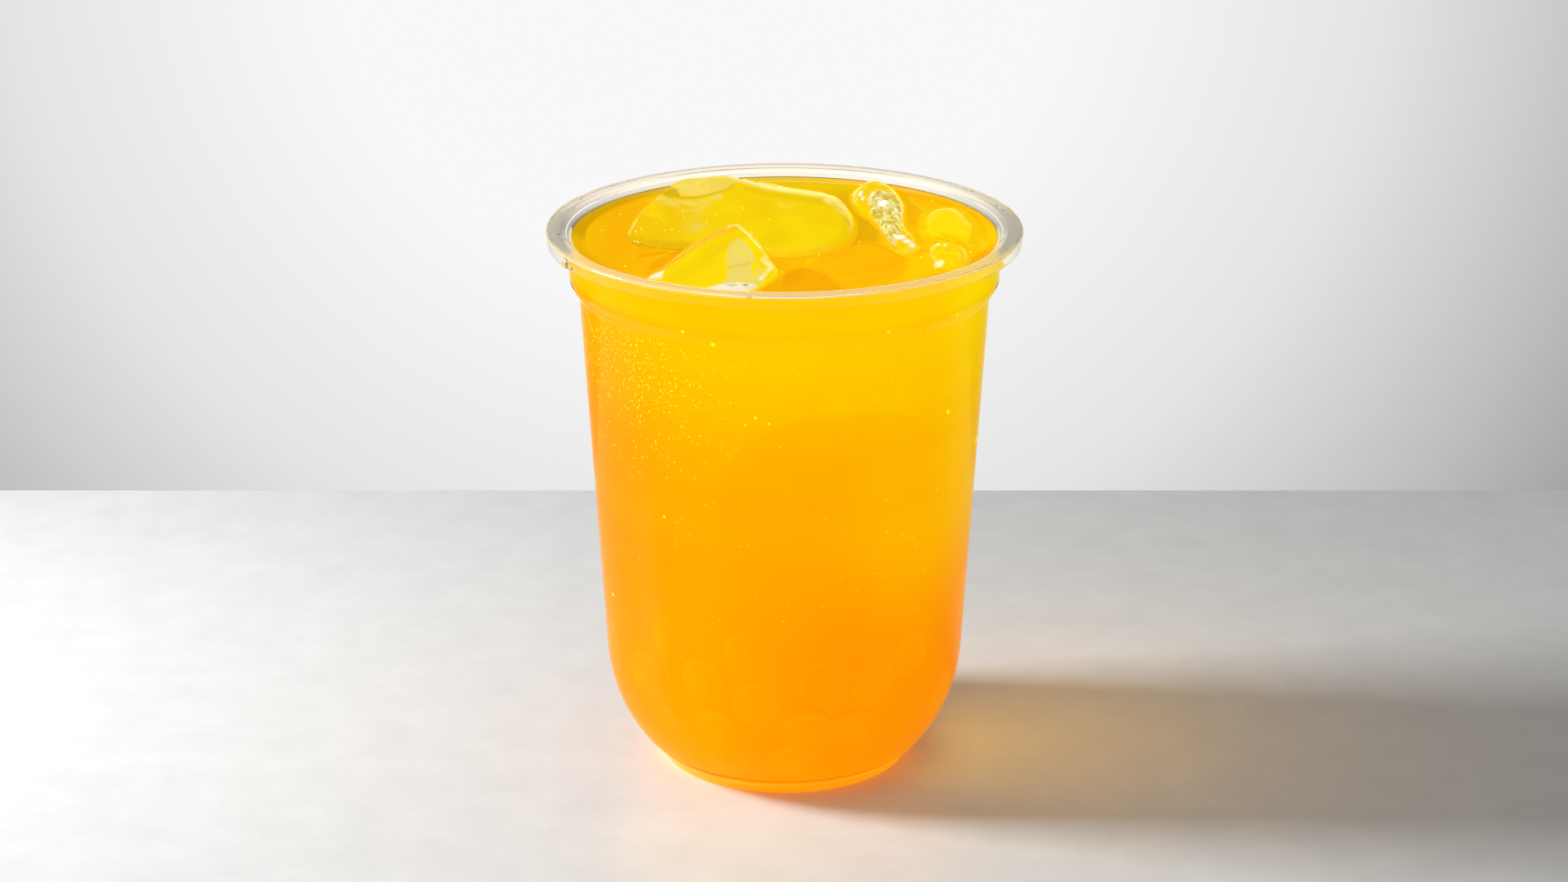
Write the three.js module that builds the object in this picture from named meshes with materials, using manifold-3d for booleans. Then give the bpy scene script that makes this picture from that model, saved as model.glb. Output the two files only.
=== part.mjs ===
// An iced fruit bubble tea in a clear, open, round-bottomed takeaway cup.
//
// Units are millimetres and +Z is up. The origin is on the cup's axis, in the plane its foot
// ring stands on. The cup is one moulded shell: a foot ring, a deep rounded bowl, a slightly
// flared wall, a shoulder step, a short straight collar and a flat flange with a downturned
// skirt. The drink fills it almost to the brim. Lumps of ice float in the drink and break its
// surface, and the drink is cut round each of them.

import * as THREE from 'three';
import { mergeVertices } from 'three/addons/utils/BufferGeometryUtils.js';
import Module from 'manifold-3d';

const wasm = await Module();
wasm.setup();

// ---------------------------------------------------------------- driving dimensions
const RIM_DIAMETER = 95.0;      // outside of the skirt, the widest place
const HEIGHT = 112.4;           // foot to the top of the flange
const WALL = 0.75;              // wall of the moulded shell

const FOOT_RADIUS = 25.2;       // outside of the foot ring where it stands
const FOOT_WIDTH = 1.3;         // width of the ring it stands on
const FOOT_FLARE = 0.7;         // how far the ring leans out on its way up to the bowl
const FOOT_HEIGHT = 1.8;        // where the bowl leaves the foot ring
const FLOOR_UNDERSIDE = 1.3;    // height of the recess under the floor, at its rim
const FLOOR_CROWN = 0.5;        // how much the floor rises towards the middle

const BOWL_TOP = 23.6;          // where the bowl has turned into the wall
const BOWL_TOP_RADIUS = 36.5;
const BOWL_TOP_PULL = 11.6;     // how long the bowl keeps the wall's direction
const BOWL_END_PULL = 4.0;      // how long it keeps the direction it meets the foot with
const BOWL_END_ANGLE = 56.8;    // degrees from the vertical, at the foot

const STEP_BOTTOM = 98.6;       // the shoulder step under the collar
const STEP_TOP = 102.7;
const STEP_BOTTOM_RADIUS = 41.05;
const COLLAR_BOTTOM_RADIUS = 42.95;
const COLLAR_TOP_RADIUS = 43.1;
const COLLAR_TOP = 110.05;

const SKIRT_DROP = 2.6;         // top of the flange to the bottom edge of the skirt
const SKIRT_THICKNESS = 0.7;
const FLANGE_THICKNESS = 0.85;
const EDGE_ROUND = 0.55;        // rounding between flange and skirt
const LIP_RADIUS = 44.6;        // where the flange turns down into the cup
const LIP_DROP = 0.2;           // how far the flange has dropped there
const MOUTH_RADIUS = 42.3;      // where the slope inside the lip meets the collar
const MOUTH_DROP = 1.85;

const LIQUID_DROP = 1.8;        // top of the flange to the drink's surface
const GAP = 0.3;                // clearance between neighbouring solids

const SEGMENTS = 48;            // round the axis

// The floating ice. Place and half sizes of each rounded block, how much wider its far end is,
// its turn about Z, the two tilts, how far it rises out of the drink, and its own phase for the
// uneven faces.
const ICE = [
  { name: 'ice_1', at: [-21.8, 14.2], half: [9.0, 15.4, 8.8], taper: -0.10, turn: -13, tilt: [4.5, -2], out: 1.6, phase: 0.4 },
  { name: 'ice_2', at: [2.2, 12.8], half: [9.6, 17.0, 9.4], taper: 0.06, turn: 4, tilt: [4, 1.5], out: 1.6, phase: 1.7 },
  { name: 'ice_3', at: [-11.6, -18.0], half: [8.2, 14.2, 8.6], taper: -0.5, turn: -6, tilt: [5, -3], out: 1.6, phase: 2.9 },
  { name: 'ice_4', at: [20.4, 13.8], half: [5.4, 15.6, 7.4], taper: -0.08, turn: 3, tilt: [3, 4], out: 1.55, phase: 4.1 },
  { name: 'ice_5', at: [31.9, 5.2], half: [4.1, 8.4, 6.0], taper: -0.1, turn: 8, tilt: [2, 3], out: 0.9, phase: 5.3 },
  { name: 'ice_6', at: [30.6, -13.2], half: [3.9, 6.8, 5.2], taper: 0.1, turn: 12, tilt: [-3, 4], out: 1.0, phase: 6.2 },
];
const BLOCK_POWER = 8;          // how square the ice is: 2 is round, large is sharp
const BLOCK_WAVE = 0.03;        // unevenness of its faces, as a part of its size
const BLOCK_STEPS = 4;          // facets along each edge of a block

// ---------------------------------------------------------------- colours
const CLEAR = { color: 0xf4f6f4, roughness: 0.08, metalness: 0.0, transparent: true, opacity: 0.3 };
const DRINK = { color: 0xfdb000, roughness: 0.12, metalness: 0.0 };
const ICE_LOOK = { color: 0xf6e08a, roughness: 0.1, metalness: 0.0, transparent: true, opacity: 0.6 };

// ---------------------------------------------------------------- curves of the profile
const rad = (deg) => (deg * Math.PI) / 180;
const wallSlope = (STEP_BOTTOM_RADIUS - BOWL_TOP_RADIUS) / (STEP_BOTTOM - BOWL_TOP);

// a point of the outer bowl, u = 0 at the foot and 1 at the top of the bowl
function bowlPoint(u) {
  const top = new THREE.Vector2(BOWL_TOP_RADIUS, BOWL_TOP);
  const down = new THREE.Vector2(-wallSlope, -1).normalize();
  const end = new THREE.Vector2(FOOT_RADIUS + FOOT_FLARE, FOOT_HEIGHT);
  const away = new THREE.Vector2(Math.sin(rad(BOWL_END_ANGLE)), Math.cos(rad(BOWL_END_ANGLE)));
  const curve = new THREE.CubicBezierCurve(
    end,
    end.clone().addScaledVector(away, BOWL_END_PULL),
    top.clone().addScaledVector(down, BOWL_TOP_PULL),
    top,
  );
  return { at: curve.getPoint(u), along: curve.getTangent(Math.min(Math.max(u, 1e-4), 1 - 1e-4)) };
}

// a point of the shoulder step, u = 0 at its bottom and 1 at its top
function stepPoint(u) {
  const z = THREE.MathUtils.lerp(STEP_BOTTOM, STEP_TOP, u);
  const rise = COLLAR_BOTTOM_RADIUS - STEP_BOTTOM_RADIUS;
  const r = STEP_BOTTOM_RADIUS + (rise * (1 - Math.cos(Math.PI * u))) / 2;
  const slope = (rise * Math.PI * Math.sin(Math.PI * u)) / 2;
  return { at: new THREE.Vector2(r, z), along: new THREE.Vector2(slope, STEP_TOP - STEP_BOTTOM).normalize() };
}

// the outer side of the shell moved inwards by a distance, bottom to top, from the bowl to
// the foot of the collar
function side(inset, bowlSteps, stepSteps) {
  const points = [];
  const push = ({ at, along }) => points.push(new THREE.Vector2(at.x - along.y * inset, at.y + along.x * inset));
  for (let i = 0; i <= bowlSteps; i++) push(bowlPoint(i / bowlSteps));
  for (let i = 0; i <= stepSteps; i++) push(stepPoint(i / stepSteps));
  return points;
}

const rimRadius = RIM_DIAMETER / 2;
const floorTop = (r, inset) => {
  // upper side of the floor: the crowned underside raised by a thickness
  const k = 1 - (r / (FOOT_RADIUS - FOOT_WIDTH)) ** 2;
  return FLOOR_UNDERSIDE + FLOOR_CROWN * k + inset;
};

// keep only the part of an inner side that is above the floor, and start it on the floor
function standOnFloor(points, inset) {
  const kept = points.filter((p) => p.y > floorTop(p.x, inset) + 0.25);
  const first = kept[0];
  const r = first.x - 2.2;
  return [new THREE.Vector2(r, floorTop(r, inset)), ...kept];
}

// ---------------------------------------------------------------- the cup
function cupProfile() {
  const outer = side(0, 9, 5);
  const inner = standOnFloor(side(WALL, 9, 5), WALL).reverse();
  const p = [];
  const add = (x, y) => p.push(new THREE.Vector2(x, y));
  // under the floor, then the foot ring
  add(0, FLOOR_UNDERSIDE + FLOOR_CROWN);
  add((FOOT_RADIUS - FOOT_WIDTH) * 0.55, FLOOR_UNDERSIDE + FLOOR_CROWN * (1 - 0.55 ** 2));
  add(FOOT_RADIUS - FOOT_WIDTH - 0.15, FLOOR_UNDERSIDE);
  add(FOOT_RADIUS - FOOT_WIDTH, 0);
  add(FOOT_RADIUS, 0);
  // bowl, wall and shoulder
  p.push(...outer);
  // collar, the underside of the flange, and the skirt
  add(COLLAR_TOP_RADIUS, COLLAR_TOP);
  add(LIP_RADIUS + 0.45, HEIGHT - FLANGE_THICKNESS);
  add(rimRadius - SKIRT_THICKNESS, HEIGHT - FLANGE_THICKNESS);
  add(rimRadius - SKIRT_THICKNESS, HEIGHT - SKIRT_DROP);
  add(rimRadius - 0.1, HEIGHT - SKIRT_DROP);
  // rounding from the skirt to the top of the flange
  for (let i = 0; i <= 3; i++) {
    const a = rad(30 * i);
    add(rimRadius - EDGE_ROUND * (1 - Math.cos(a)), HEIGHT - EDGE_ROUND * (1 - Math.sin(a)));
  }
  // the lip, and the slope down into the mouth
  add(LIP_RADIUS + 0.5, HEIGHT);
  add(LIP_RADIUS, HEIGHT - LIP_DROP);
  add(MOUTH_RADIUS, HEIGHT - MOUTH_DROP);
  // back down the inside
  p.push(...inner);
  add(0, floorTop(0, WALL));
  return p;
}

// ---------------------------------------------------------------- the drink
function drinkProfile() {
  const inset = WALL + GAP;
  const body = standOnFloor(side(inset, 9, 5), inset);
  const level = HEIGHT - LIQUID_DROP;
  const p = [new THREE.Vector2(0, floorTop(0, inset)), ...body];
  p.push(new THREE.Vector2(MOUTH_RADIUS - GAP - 0.05, level));
  p.push(new THREE.Vector2(0, level));
  return p;
}

// ---------------------------------------------------------------- solids
function lathe(profile) {
  const g = new THREE.LatheGeometry(profile, SEGMENTS);
  g.rotateX(Math.PI / 2);        // the lathe turns about Y, and the cup stands on Z
  return g;
}

function toSolid(geometry) {
  const g = geometry.clone();
  g.deleteAttribute('normal');
  g.deleteAttribute('uv');
  const merged = mergeVertices(g, 1e-4);
  // drop the triangles that the axis has pinched to nothing
  const position = merged.attributes.position;
  const tri = [];
  for (let i = 0; i < merged.index.count; i += 3) {
    const [a, b, c] = [0, 1, 2].map((k) => merged.index.getX(i + k));
    if (a !== b && b !== c && c !== a) tri.push(a, b, c);
  }
  return new wasm.Manifold(new wasm.Mesh({
    numProp: 3,
    vertProperties: new Float32Array(position.array),
    triVerts: new Uint32Array(tri),
  }));
}

function toGeometry(solid) {
  const m = solid.getMesh();
  const g = new THREE.BufferGeometry();
  g.setAttribute('position', new THREE.BufferAttribute(new Float32Array(m.vertProperties), 3));
  g.setIndex(new THREE.BufferAttribute(new Uint32Array(m.triVerts), 1));
  g.computeVertexNormals();
  return g;
}

// one block of ice, with its faces moved out by a distance
function iceBlock(spec, grow) {
  const g = new THREE.BoxGeometry(2, 2, 2, BLOCK_STEPS, BLOCK_STEPS, BLOCK_STEPS);
  const q = g.attributes.position;
  const v = new THREE.Vector3();
  for (let i = 0; i < q.count; i++) {
    v.fromBufferAttribute(q, i).normalize();
    const n = BLOCK_POWER;
    const s = (Math.abs(v.x) ** n + Math.abs(v.y) ** n + Math.abs(v.z) ** n) ** (-1 / n);
    const wave = 1 + BLOCK_WAVE * (Math.sin(2.3 * v.x + spec.phase) + Math.sin(2.9 * v.y - 2 * spec.phase) + Math.sin(2.6 * v.z + 3 * spec.phase));
    v.multiplyScalar(s * wave);
    v.set(v.x * (spec.half[0] * (1 + spec.taper * v.y) + grow), v.y * (spec.half[1] + grow), v.z * (spec.half[2] + grow));
    q.setXYZ(i, v.x, v.y, v.z);
  }
  const turn = new THREE.Matrix4()
    .makeRotationZ(rad(spec.turn))
    .multiply(new THREE.Matrix4().makeRotationX(rad(spec.tilt[0])))
    .multiply(new THREE.Matrix4().makeRotationY(rad(spec.tilt[1])));
  g.applyMatrix4(turn);
  return g;
}

function iceAt(spec, grow) {
  // the height comes from the block's own highest point, and the larger block keeps its centre
  const plain = iceBlock(spec, 0);
  plain.computeBoundingBox();
  const centre = HEIGHT - LIQUID_DROP + spec.out - plain.boundingBox.max.z;
  return iceBlock(spec, grow).translate(spec.at[0], spec.at[1], centre);
}

// ---------------------------------------------------------------- the object
const object = new THREE.Group();
function add(name, geometry, look) {
  const mesh = new THREE.Mesh(geometry, new THREE.MeshStandardMaterial(look));
  mesh.name = name;
  object.add(mesh);
}

add('cup', toGeometry(toSolid(lathe(cupProfile()))), CLEAR);

let drink = toSolid(lathe(drinkProfile()));
for (const spec of ICE) drink = drink.subtract(toSolid(iceAt(spec, GAP + 0.08)));
add('drink', toGeometry(drink), DRINK);

for (const spec of ICE) add(spec.name, toGeometry(toSolid(iceAt(spec, 0))), ICE_LOOK);

export default object;
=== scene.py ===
import math
import random

import bpy
import numpy as np
from mathutils import Matrix, Vector, noise


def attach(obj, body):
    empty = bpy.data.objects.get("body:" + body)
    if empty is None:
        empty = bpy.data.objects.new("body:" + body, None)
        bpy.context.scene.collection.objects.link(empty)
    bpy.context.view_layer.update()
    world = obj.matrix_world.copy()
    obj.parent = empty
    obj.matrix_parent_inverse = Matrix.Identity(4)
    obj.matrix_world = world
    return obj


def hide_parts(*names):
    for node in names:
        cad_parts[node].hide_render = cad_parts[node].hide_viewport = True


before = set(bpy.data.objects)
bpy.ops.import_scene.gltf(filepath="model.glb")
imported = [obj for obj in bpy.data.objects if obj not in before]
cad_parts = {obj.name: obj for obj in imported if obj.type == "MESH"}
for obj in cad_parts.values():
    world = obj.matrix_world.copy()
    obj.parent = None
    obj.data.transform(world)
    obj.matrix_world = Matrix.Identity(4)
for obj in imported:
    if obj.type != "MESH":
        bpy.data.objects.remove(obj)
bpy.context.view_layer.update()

scene = bpy.context.scene
MM = 0.001
random.seed(41)

# ------------------------------------------------------------------ sizes, in millimetres
RIM_RADIUS = 47.5
HEIGHT = 112.4
WALL = 0.75
FOOT_RADIUS, FOOT_WIDTH, FOOT_FLARE, FOOT_HEIGHT = 25.2, 1.3, 0.7, 1.8
FLOOR_UNDERSIDE, FLOOR_CROWN = 1.3, 0.5
BOWL_TOP, BOWL_TOP_RADIUS, BOWL_TOP_PULL = 23.6, 36.5, 11.6
BOWL_END_PULL, BOWL_END_ANGLE = 4.0, 56.8
STEP_BOTTOM, STEP_TOP, STEP_BOTTOM_RADIUS = 98.6, 102.7, 41.05
COLLAR_BOTTOM_RADIUS, COLLAR_TOP_RADIUS, COLLAR_TOP = 42.95, 43.1, 110.05
SKIRT_DROP, SKIRT_THICKNESS, FLANGE_THICKNESS, EDGE_ROUND = 2.6, 0.7, 0.85, 0.55
LIP_RADIUS, LIP_DROP, MOUTH_RADIUS, MOUTH_DROP = 44.6, 0.2, 42.3, 1.85
LEVEL = HEIGHT - 1.8


# ------------------------------------------------------------------ profile of the shell
def bezier(a, b, c, d, u):
    return tuple(
        (1 - u) ** 3 * a[k] + 3 * (1 - u) ** 2 * u * b[k] + 3 * (1 - u) * u * u * c[k] + u ** 3 * d[k]
        for k in (0, 1)
    )


def bowl_point(u):
    slope = (STEP_BOTTOM_RADIUS - BOWL_TOP_RADIUS) / (STEP_BOTTOM - BOWL_TOP)
    n = math.hypot(slope, 1)
    a = math.radians(BOWL_END_ANGLE)
    end = (FOOT_RADIUS + FOOT_FLARE, FOOT_HEIGHT)
    p1 = (end[0] + math.sin(a) * BOWL_END_PULL, end[1] + math.cos(a) * BOWL_END_PULL)
    top = (BOWL_TOP_RADIUS, BOWL_TOP)
    p2 = (top[0] - slope / n * BOWL_TOP_PULL, top[1] - BOWL_TOP_PULL / n)
    return bezier(end, p1, p2, top, u)


def step_point(u):
    rise = COLLAR_BOTTOM_RADIUS - STEP_BOTTOM_RADIUS
    return (
        STEP_BOTTOM_RADIUS + rise * (1 - math.cos(math.pi * u)) / 2,
        STEP_BOTTOM + (STEP_TOP - STEP_BOTTOM) * u,
    )


def offset(points, inset):
    """The line moved to its left-hand side, which is inwards for a side drawn bottom to top."""
    out = []
    for i, p in enumerate(points):
        a, b = points[max(i - 1, 0)], points[min(i + 1, len(points) - 1)]
        dx, dy = b[0] - a[0], b[1] - a[1]
        n = math.hypot(dx, dy)
        out.append((p[0] - dy / n * inset, p[1] + dx / n * inset))
    return out


def side(inset, bowl_steps=40, wall_steps=24, step_steps=18):
    pts = [bowl_point(i / bowl_steps) for i in range(bowl_steps + 1)]
    top, foot = pts[-1], step_point(0)
    pts += [
        (top[0] + (foot[0] - top[0]) * i / wall_steps, top[1] + (foot[1] - top[1]) * i / wall_steps)
        for i in range(1, wall_steps)
    ]
    pts += [step_point(i / step_steps) for i in range(step_steps + 1)]
    return offset(pts, inset)


def floor_top(r, inset):
    k = 1 - (r / (FOOT_RADIUS - FOOT_WIDTH)) ** 2
    return FLOOR_UNDERSIDE + FLOOR_CROWN * k + inset


def stand_on_floor(pts, inset, steps=8):
    """The part of an inner side that is above the floor, joined to the floor by a rounded corner."""
    kept = [p for p in pts if p[1] > floor_top(p[0], inset) + 0.25]
    first, second = kept[0], kept[1]
    r = first[0] - 2.2
    a = (r, floor_top(r, inset))
    d = math.hypot(second[0] - first[0], second[1] - first[1])
    back = ((second[0] - first[0]) / d, (second[1] - first[1]) / d)
    c = (first[0] - back[0] * 0.5, first[1] - back[1] * 0.5)
    corner = [bezier(a, (a[0] + 1.0, floor_top(a[0] + 1.0, inset)), c, first, i / steps) for i in range(steps)]
    flat = [(r * i / 6, floor_top(r * i / 6, inset)) for i in range(6)]
    return flat + corner + kept


def arc(cx, cy, rx, ry, a0, a1, n):
    out = []
    for i in range(n + 1):
        t = math.radians(a0 + (a1 - a0) * i / n)
        out.append((cx + rx * math.cos(t), cy + ry * math.sin(t)))
    return out


# ------------------------------------------------------------------ mesh helpers
def mesh_object(name, verts, faces, smooth=True):
    me = bpy.data.meshes.new(name)
    me.from_pydata([tuple(v) for v in verts], [], faces)
    me.validate()
    me.update()
    ob = bpy.data.objects.new(name, me)
    scene.collection.objects.link(ob)
    if smooth:
        me.polygons.foreach_set("use_smooth", [True] * len(me.polygons))
    return ob


def lathe(profile, segments, wobble=None):
    """Turns a profile in millimetres about Z. Points on the axis become one vertex."""
    verts, rings = [], []
    for r, z in profile:
        if r < 1e-6:
            rings.append([len(verts)])
            verts.append((0.0, 0.0, z * MM))
        else:
            ring = []
            for s in range(segments):
                a = 2 * math.pi * s / segments
                rr, zz = (r, z) if wobble is None else wobble(r, z, a)
                ring.append(len(verts))
                verts.append((rr * math.cos(a) * MM, rr * math.sin(a) * MM, zz * MM))
            rings.append(ring)
    faces = []
    n = segments
    for a, b in zip(rings, rings[1:]):
        if len(a) == 1 and len(b) == 1:
            continue
        for s in range(n):
            t = (s + 1) % n
            if len(a) == 1:
                faces.append((a[0], b[t], b[s]))
            elif len(b) == 1:
                faces.append((a[s], a[t], b[0]))
            else:
                faces.append((a[s], a[t], b[t], b[s]))
    return verts, faces


# ------------------------------------------------------------------ material helpers
class Nodes:
    """A small helper that makes a material's nodes and joins them."""

    def __init__(self, name):
        self.mat = bpy.data.materials.new(name)
        self.mat.use_nodes = True
        self.tree = self.mat.node_tree
        self.tree.nodes.clear()
        self.out = self.tree.nodes.new("ShaderNodeOutputMaterial")

    def new(self, kind, **values):
        node = self.tree.nodes.new("ShaderNode" + kind)
        for key, value in values.items():
            if hasattr(node, key) and not isinstance(value, tuple):
                setattr(node, key, value)
            else:
                self.set(node, key, value)
        return node

    def set(self, node, key, value):
        socket = node.inputs[key.replace("_", " ")] if isinstance(key, str) else node.inputs[key]
        if isinstance(value, bpy.types.NodeSocket):
            self.tree.links.new(value, socket)
        elif isinstance(value, tuple) and socket.type == "RGBA" and len(value) == 3:
            socket.default_value = (*value, 1)
        else:
            socket.default_value = value

    def link(self, a, b):
        self.tree.links.new(a, b)

    def principled(self, **values):
        node = self.tree.nodes.new("ShaderNodeBsdfPrincipled")
        for key, value in values.items():
            self.set(node, key, value)
        self.link(node.outputs[0], self.out.inputs["Surface"])
        return node

    def coords(self, scale=(1, 1, 1)):
        c = self.tree.nodes.new("ShaderNodeTexCoord")
        m = self.tree.nodes.new("ShaderNodeMapping")
        m.inputs["Scale"].default_value = scale
        self.link(c.outputs["Object"], m.inputs["Vector"])
        return m.outputs[0]

    def noise(self, vector, scale, detail=3.0, rough=0.5):
        n = self.tree.nodes.new("ShaderNodeTexNoise")
        n.inputs["Scale"].default_value = scale
        n.inputs["Detail"].default_value = detail
        n.inputs["Roughness"].default_value = rough
        self.link(vector, n.inputs["Vector"])
        return n.outputs["Fac"]

    def ramp(self, fac, stops, interpolation="LINEAR"):
        r = self.tree.nodes.new("ShaderNodeValToRGB")
        r.color_ramp.interpolation = interpolation
        e = r.color_ramp.elements
        while len(e) < len(stops):
            e.new(0.5)
        for k, (pos, colour) in enumerate(stops):
            e[k].position = pos
            e[k].color = (*colour, 1) if len(colour) == 3 else colour
        self.link(fac, r.inputs[0])
        return r.outputs[0]

    def map_range(self, value, a, b, c, d):
        m = self.tree.nodes.new("ShaderNodeMapRange")
        for k, v in zip(("From Min", "From Max", "To Min", "To Max"), (a, b, c, d)):
            m.inputs[k].default_value = v
        self.link(value, m.inputs["Value"])
        return m.outputs[0]

    def math(self, op, a, b=None):
        m = self.tree.nodes.new("ShaderNodeMath")
        m.operation = op
        for k, v in enumerate((a, b)):
            if v is None:
                continue
            if isinstance(v, bpy.types.NodeSocket):
                self.link(v, m.inputs[k])
            else:
                m.inputs[k].default_value = v
        return m.outputs[0]

    def bump(self, height, strength, distance=0.0002, normal=None):
        b = self.tree.nodes.new("ShaderNodeBump")
        b.inputs["Strength"].default_value = strength
        b.inputs["Distance"].default_value = distance
        self.link(height, b.inputs["Height"])
        if normal is not None:
            self.link(normal, b.inputs["Normal"])
        return b.outputs[0]

    def absorb(self, colour, density):
        v = self.tree.nodes.new("ShaderNodeVolumeAbsorption")
        v.inputs["Color"].default_value = (*colour, 1)
        v.inputs["Density"].default_value = density
        self.link(v.outputs[0], self.out.inputs["Volume"])
        return v


def smooth(a, b, x):
    t = min(max((x - a) / (b - a), 0.0), 1.0)
    return t * t * (3 - 2 * t)


def table(stops, x):
    """A smooth line through (x, value) stops."""
    if x <= stops[0][0]:
        return stops[0][1]
    for (x0, v0), (x1, v1) in zip(stops, stops[1:]):
        if x <= x1:
            return v0 + (v1 - v0) * smooth(x0, x1, x)
    return stops[-1][1]


def srgb(r, g, b):
    def f(c):
        c /= 255
        return c / 12.92 if c <= 0.04045 else ((c + 0.055) / 1.055) ** 2.4
    return (f(r), f(g), f(b))


def glowing(name, glow, body, grain=0.03, rough=0.6, clear=0.0, gloss=0.0, ior=1.34, scale=45, ripple=0.0, tint_gloss=(1.0, 0.8, 0.3)):
    """Juice-filled stuff: part of its light is a painted glow, an emission that stands in for the light the cloudy
    juice scatters out of it; the rest it sends back.
    """
    n = Nodes(name)
    a = n.tree.nodes.new("ShaderNodeVertexColor")
    a.layer_name = "Glow"
    flecks = n.map_range(n.noise(n.coords(), scale, 3), 0.3, 0.7, 1 - grain, 1 + grain)
    tint = n.tree.nodes.new("ShaderNodeVectorMath")
    tint.operation = "MULTIPLY"
    mixed = n.tree.nodes.new("ShaderNodeCombineXYZ")
    mixed.inputs[0].default_value = 1.0
    mixed.inputs[2].default_value = 1.0
    n.link(flecks, mixed.inputs[1])
    n.link(a.outputs[0], tint.inputs[0])
    n.link(mixed.outputs[0], tint.inputs[1])
    low = n.tree.nodes.new("ShaderNodeVectorMath")
    low.operation = "SCALE"
    low.inputs["Scale"].default_value = body
    n.link(tint.outputs[0], low.inputs[0])
    shader = n.principled(
        Base_Color=low.outputs[0],
        Roughness=rough,
        IOR=ior,
        Specular_IOR_Level=gloss,
        Specular_Tint=tint_gloss,
        Transmission_Weight=clear,
        Emission_Color=tint.outputs[0],
        Emission_Strength=glow,
    )
    if ripple:
        wide, fine = n.noise(n.coords(), 130, 3), n.noise(n.coords(), 620, 2)
        n.set(shader, "Normal", n.bump(n.math("ADD", wide, n.math("MULTIPLY", fine, 0.25)), ripple, 0.0006))
    n.mat.cycles.emission_sampling = "NONE"
    return n.mat


# ------------------------------------------------------------------ the cup
def cup_profile():
    outer = side(0)
    inner = stand_on_floor(side(WALL), WALL)[::-1]
    p = []
    ring_in = FOOT_RADIUS - FOOT_WIDTH
    p += [(ring_in * k / 6, FLOOR_UNDERSIDE + FLOOR_CROWN * (1 - (k / 6) ** 2)) for k in range(6)]
    p += arc(ring_in - 0.35, FLOOR_UNDERSIDE - 0.25, 0.25, 0.25, 90, 0, 4)
    p += arc(ring_in + 0.2, 0.2, 0.2, 0.2, 180, 270, 4)
    p += arc(FOOT_RADIUS - 0.2, 0.2, 0.2, 0.2, 270, 345, 4)
    p += [(FOOT_RADIUS + 0.35, 0.9), (FOOT_RADIUS + 0.52, 1.45)]
    p += outer
    # collar with its shallow bead, then the fillet under the flange
    for z in [STEP_TOP + 0.3 * k for k in range(1, 22)]:
        t = (z - STEP_TOP) / (COLLAR_TOP - STEP_TOP)
        bead = 0.09 * math.exp(-((z - 105.0) / 0.45) ** 2)
        p.append((COLLAR_BOTTOM_RADIUS + (COLLAR_TOP_RADIUS - COLLAR_BOTTOM_RADIUS) * t + bead, z))
    under = HEIGHT - FLANGE_THICKNESS
    a, b = (COLLAR_TOP_RADIUS, COLLAR_TOP - 0.2), (LIP_RADIUS + 0.7, under)
    p += [bezier(a, (a[0], a[1] + 0.8), (b[0] - 0.9, b[1]), b, k / 8) for k in range(9)]
    skirt_in = RIM_RADIUS - SKIRT_THICKNESS
    p += arc(skirt_in - 0.25, under - 0.25, 0.25, 0.25, 90, 0, 4)
    bottom = HEIGHT - SKIRT_DROP
    p += arc(skirt_in + 0.2, bottom + 0.2, 0.2, 0.2, 180, 270, 4)
    p += arc(RIM_RADIUS - 0.3, bottom + 0.2, 0.2, 0.2, 270, 350, 4)
    p += [(RIM_RADIUS - 0.06, HEIGHT - 1.6), (RIM_RADIUS, HEIGHT - 1.0)]
    p += arc(RIM_RADIUS - EDGE_ROUND, HEIGHT - EDGE_ROUND, EDGE_ROUND, EDGE_ROUND, 5, 90, 10)
    # flat top with a hair-fine groove just outside the lip, then the slope into the mouth
    p += [(RIM_RADIUS - 0.9, HEIGHT), (LIP_RADIUS + 1.0, HEIGHT - 0.01), (LIP_RADIUS + 0.55, HEIGHT - 0.03)]
    p += [(LIP_RADIUS + 0.32, HEIGHT - 0.1), (LIP_RADIUS + 0.12, HEIGHT - 0.1)]
    p += [(LIP_RADIUS - 0.05, HEIGHT - 0.13), (LIP_RADIUS - 0.3, HEIGHT - 0.27)]
    a, b = (LIP_RADIUS - 0.55, HEIGHT - 0.45), (MOUTH_RADIUS, HEIGHT - MOUTH_DROP)
    p += [bezier(a, (a[0] - 0.6, a[1] - 0.42), (b[0] + 0.35, b[1] + 0.5), b, k / 8) for k in range(9)]
    for k in range(1, 6):
        z = b[1] + (STEP_TOP - b[1]) * k / 6
        p.append((MOUTH_RADIUS - 0.1 * k / 6, z))
    p += inner
    p[-1] = (0.0, p[-1][1])
    p[0] = (0.0, p[0][1])
    return p


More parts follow.
